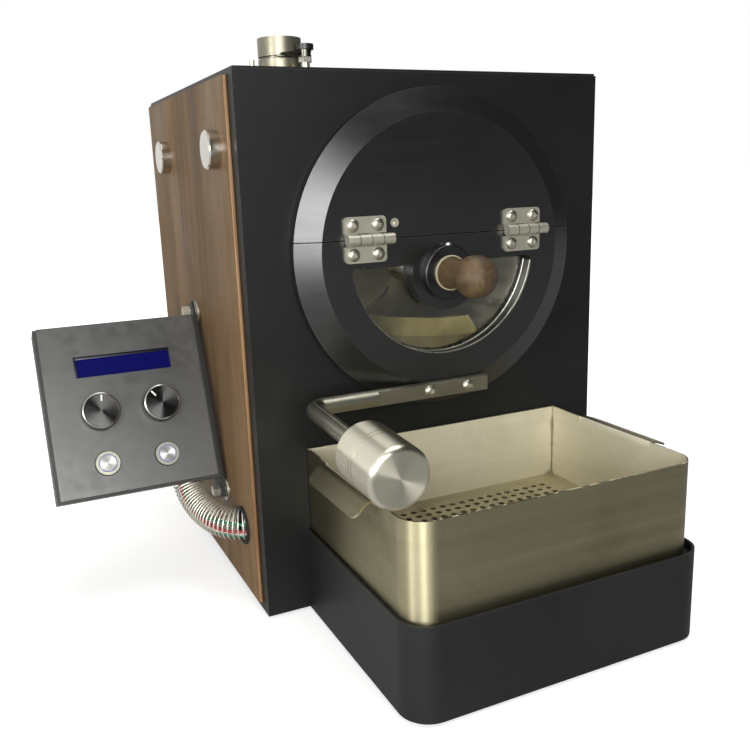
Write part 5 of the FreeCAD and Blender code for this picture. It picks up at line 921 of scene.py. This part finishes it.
def wire_line(path, number):
    """The place of one of six wires at the outer side of the bend, with a weave of its own."""
    lean, out = math.radians(-62 + 25 * number), 8.0 * MM
    line = []
    for place, side, up, angle in wound(path, 1, 40):
        sway = lean + 0.16 * math.sin(angle * (1.0 + 0.3 * number) + 1.7 * number)
        line.append(place + (side * math.cos(sway) + up * math.sin(sway)) * out)
    return line


class ROASTER_OT_conduit(bpy.types.Operator):
    """The spring conduit from the box to the cabinet, and the coloured wires in it."""

    bl_idname = "roaster.conduit"
    bl_label = "Conduit and wires"

    def execute(self, context):
        sizes = context.scene.roaster_sizes
        route = [tuple(part * MM for part in corner) for corner in CONDUIT_ROUTE_MM]
        path = [vert.co.copy() for vert in line_mesh("route", "NURBS", route).vertices]
        radius = CONDUIT_RADIUS - sizes.spring_wire / 2
        turns = [place + (side * math.cos(angle) + up * math.sin(angle)) * radius
                 for place, side, up, angle in wound(path, sizes.spring_turns, 24)]
        coil = line_mesh("coil_spring", "POLY", turns, sizes.spring_wire / 2, 3)
        coil.shade_smooth()
        steel = worked_steel("spring_steel_wire", "#dedbcd", 0.34, depth=0.05, metal=0.8)
        spring = seat("coil_spring", coil, "cabinet", steel, "conduit_steel")
        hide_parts("spring_conduit")
        # Each colour of sheath has two of the six wires
        for first, (tint, code) in enumerate((("green", "#1f7a58"), ("red", "#b02a34"),
                                              ("white", "#cfcfc8"))):
            work = bmesh.new()
            for number in (first, first + 3):
                wire = line_mesh("wire_%d" % number, "POLY", wire_line(path, number), 1.15 * MM, 3)
                work.from_mesh(wire)
            skin = moulded("extruded_sheath_" + tint, code, 0.4, 0.05, 0.5)
            made = piece("wires_" + tint, work, "cabinet", skin, "wires")
            if tint == "green":
                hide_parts("conduit_wires")
        return {"FINISHED"}


# The studio

def place_camera(scene):
    """The camera where the photograph's stood."""
    place = (-0.2751, -0.4905, 0.2855)
    round_right, down, roll = (math.radians(angle) for angle in (24.93, 13.38, 1.97))
    lens = bpy.data.cameras.new("camera")
    lens.lens, lens.sensor_width, lens.clip_start = 40.1, 36.0, 0.01
    eye = bpy.data.objects.new("camera", lens)
    scene.collection.objects.link(eye)
    turn = (Matrix.Rotation(-round_right, 4, "Z") @ Matrix.Rotation(math.pi / 2 - down, 4, "X")
            @ Matrix.Rotation(-roll, 4, "Z"))
    eye.matrix_world = Matrix.Translation(place) @ turn
    scene.camera = eye


def paper_floor():
    """A pale paper floor that takes the shadow and is white to the eye and in glass. In metal it
    ends before the machine, where a dim room begins."""
    made, tree, shader, here = start("matt_paper_floor", Roughness=0.9, Specular_IOR_Level=0.1)
    shader.inputs["Base Color"].default_value = colour("#dededc")
    path = add(tree, "LightPath")
    far = add(tree, "VectorMath", {"operation": "LENGTH"}, here)
    rise = add(tree, "MapRange", {"span": (0.35, 1.3, 0.55, 1.0)}, (far, "Value", "Value"))
    toward = add(tree, "VectorMath", {"operation": "DOT_PRODUCT", 1: (-0.7, 0.7, 0)}, here)
    before = add(tree, "MapRange", {"span": (-0.02, -0.14, 0.3)}, (toward, "Value", "Value"))
    dim = add(tree, "Math", {"operation": "MULTIPLY"}, (before, "Result", 0), (path, "Is Glossy Ray", 1))
    room = add(tree, "Emission", {"Color": grey(1.0), "Strength": 0.4})
    seen = add(tree, "Math", {"operation": "MULTIPLY_ADD", 1: 0.2},
               (path, "Is Glossy Ray", 0), (path, "Is Camera Ray", 2))
    any_seen = add(tree, "Math", {"operation": "MAXIMUM"}, (seen, "Value", 0),
                   (path, "Is Transmission Ray", 1))
    light = add(tree, "Math", {"operation": "MULTIPLY"}, (any_seen, "Value", 0), (rise, "Result", 1))
    glow = add(tree, "Emission", {"Color": grey(1.0)}, (light, "Value", "Strength"))
    both = add(tree, "AddShader", {}, (shader, "BSDF", 0), (glow, "Emission", 1))
    ended = add(tree, "MixShader", {}, (dim, "Value", 0), (both, "Shader", 1), (room, "Emission", 2))
    tree.links.new(ended.outputs["Shader"], tree.nodes["Material Output"].inputs["Surface"])
    return made


def lay_floor(scene):
    """A floor 12 m across, which is stage and not part of the object."""
    work = bmesh.new()
    bmesh.ops.create_grid(work, x_segments=4, y_segments=4, size=6.0)
    mesh = bpy.data.meshes.new("floor")
    work.to_mesh(mesh)
    work.free()
    mesh.materials.append(paper_floor())
    floor = bpy.data.objects.new("floor", mesh)
    scene.collection.objects.link(floor)


def light_world(scene):
    """White to the eye; metal and glass see white behind and at left, and a dim room elsewhere."""
    world = bpy.data.worlds.new("studio")
    world.use_nodes = True
    scene.world = world
    tree = world.node_tree
    back = tree.nodes["Background"]
    where = add(tree, "TexCoord")
    toward = add(tree, "VectorMath", {"operation": "DOT_PRODUCT", 1: (-0.6, 0.6, 0.35)},
                 (where, "Generated", 0))
    room = add(tree, "MapRange", {"span": (0.0, 0.4, 0.06, 1.0)}, (toward, "Value", "Value"))
    path = add(tree, "LightPath")
    mirrored = add(tree, "Math", {"operation": "MAXIMUM"}, (path, "Is Glossy Ray", 0),
                   (path, "Is Transmission Ray", 1))
    unseen = add(tree, "Mix", {"data_type": "FLOAT", VALUE_A: 0.28}, (mirrored, "Value", FACTOR),
                 (room, "Result", VALUE_B))
    power = add(tree, "Mix", {"data_type": "FLOAT", VALUE_B: 1.0}, (path, "Is Camera Ray", FACTOR),
                (unseen, 0, VALUE_A))
    back.inputs["Color"].default_value = grey(1.0)
    tree.links.new(power.outputs[0], back.inputs["Strength"])


def hang_lamp(scene, name, place, target, size, watts):
    """A soft oblong lamp that looks at a target. The cards stand in for a photographer's white
    boards: they show in reflections and give no diffuse light."""
    lamp = bpy.data.lights.new(name, "AREA")
    lamp.shape, lamp.size, lamp.size_y, lamp.energy = "RECTANGLE", size[0], size[1], watts
    thing = bpy.data.objects.new(name, lamp)
    scene.collection.objects.link(thing)
    look = (Vector(target) - Vector(place)).to_track_quat("-Z", "Y").to_matrix().to_4x4()
    thing.matrix_world = Matrix.Translation(place) @ look
    thing.visible_diffuse = not name.startswith("card")


class ROASTER_OT_stage(bpy.types.Operator):
    """A pale floor, soft lamps and the camera."""

    bl_idname = "roaster.stage"
    bl_label = "Studio and camera"

    def execute(self, context):
        scene = context.scene
        scene.view_settings.view_transform = "Standard"
        place_camera(scene)
        lay_floor(scene)
        light_world(scene)
        middle = (0, 0, 0.2)
        hang_lamp(scene, "key_left", (-0.75, -1.5, 0.5), middle, (0.6, 0.9), 14.0)
        hang_lamp(scene, "front_soft", (-0.15, -1.73, 0.68), middle, (0.5, 0.5), 6.0)
        hang_lamp(scene, "side_left", (-1.7, -0.65, 0.5), (-0.1, 0, 0.2), (0.42, 0.6), 13.0)
        hang_lamp(scene, "top_soft", (0.15, -0.1, 1.8), (0, 0, 0.1), (1.2, 1.2), 18.0)
        hang_lamp(scene, "card_tall", (-0.72, -1.42, 0.7), (0, 0, 0.25), (0.5, 1.2), 12.0)
        hang_lamp(scene, "card_corner", (-1.35, -1.2, 0.4), (-0.1, -0.3, 0.15), (0.75, 0.8), 6.5)
        hang_lamp(scene, "drum_inside", (-0.03, 0.02, 0.27), (0.07, 0.06, 0.17), (0.04, 0.04), 0.3)
        return {"FINISHED"}


STEPS = (
    ROASTER_OT_cabinet, ROASTER_OT_panels, ROASTER_OT_door, ROASTER_OT_hinges, ROASTER_OT_lever,
    ROASTER_OT_sampler, ROASTER_OT_drum, ROASTER_OT_exhaust, ROASTER_OT_tray,
    ROASTER_OT_control_box, ROASTER_OT_dials, ROASTER_OT_buttons, ROASTER_OT_conduit,
    ROASTER_OT_stage,
)


class ROASTER_PT_panel(bpy.types.Panel):
    """Sizes, colours and steps in the sidebar."""

    bl_label = "Coffee roaster"
    bl_idname = "ROASTER_PT_panel"
    bl_space_type = "VIEW_3D"
    bl_region_type = "UI"
    bl_category = "Roaster"

    def draw(self, context):
        for group in (context.scene.roaster_sizes, context.scene.roaster_colours):
            part = self.layout.box()
            for name in group.__annotations__:
                part.prop(group, name)
        steps = self.layout.column(align=True)
        for step in STEPS:
            steps.operator(step.bl_idname)


CLASSES = (RoasterSizes, RoasterColours) + STEPS + (ROASTER_PT_panel,)


def register():
    for one in CLASSES:
        bpy.utils.register_class(one)
    bpy.types.Scene.roaster_sizes = bpy.props.PointerProperty(type=RoasterSizes)
    bpy.types.Scene.roaster_colours = bpy.props.PointerProperty(type=RoasterColours)


def unregister():
    del bpy.types.Scene.roaster_colours
    del bpy.types.Scene.roaster_sizes
    for one in reversed(CLASSES):
        bpy.utils.unregister_class(one)


def main():
    register()
    for step in STEPS:
        group, name = step.bl_idname.split(".")
        getattr(getattr(bpy.ops, group), name)()


if __name__ == "__main__":
    main()
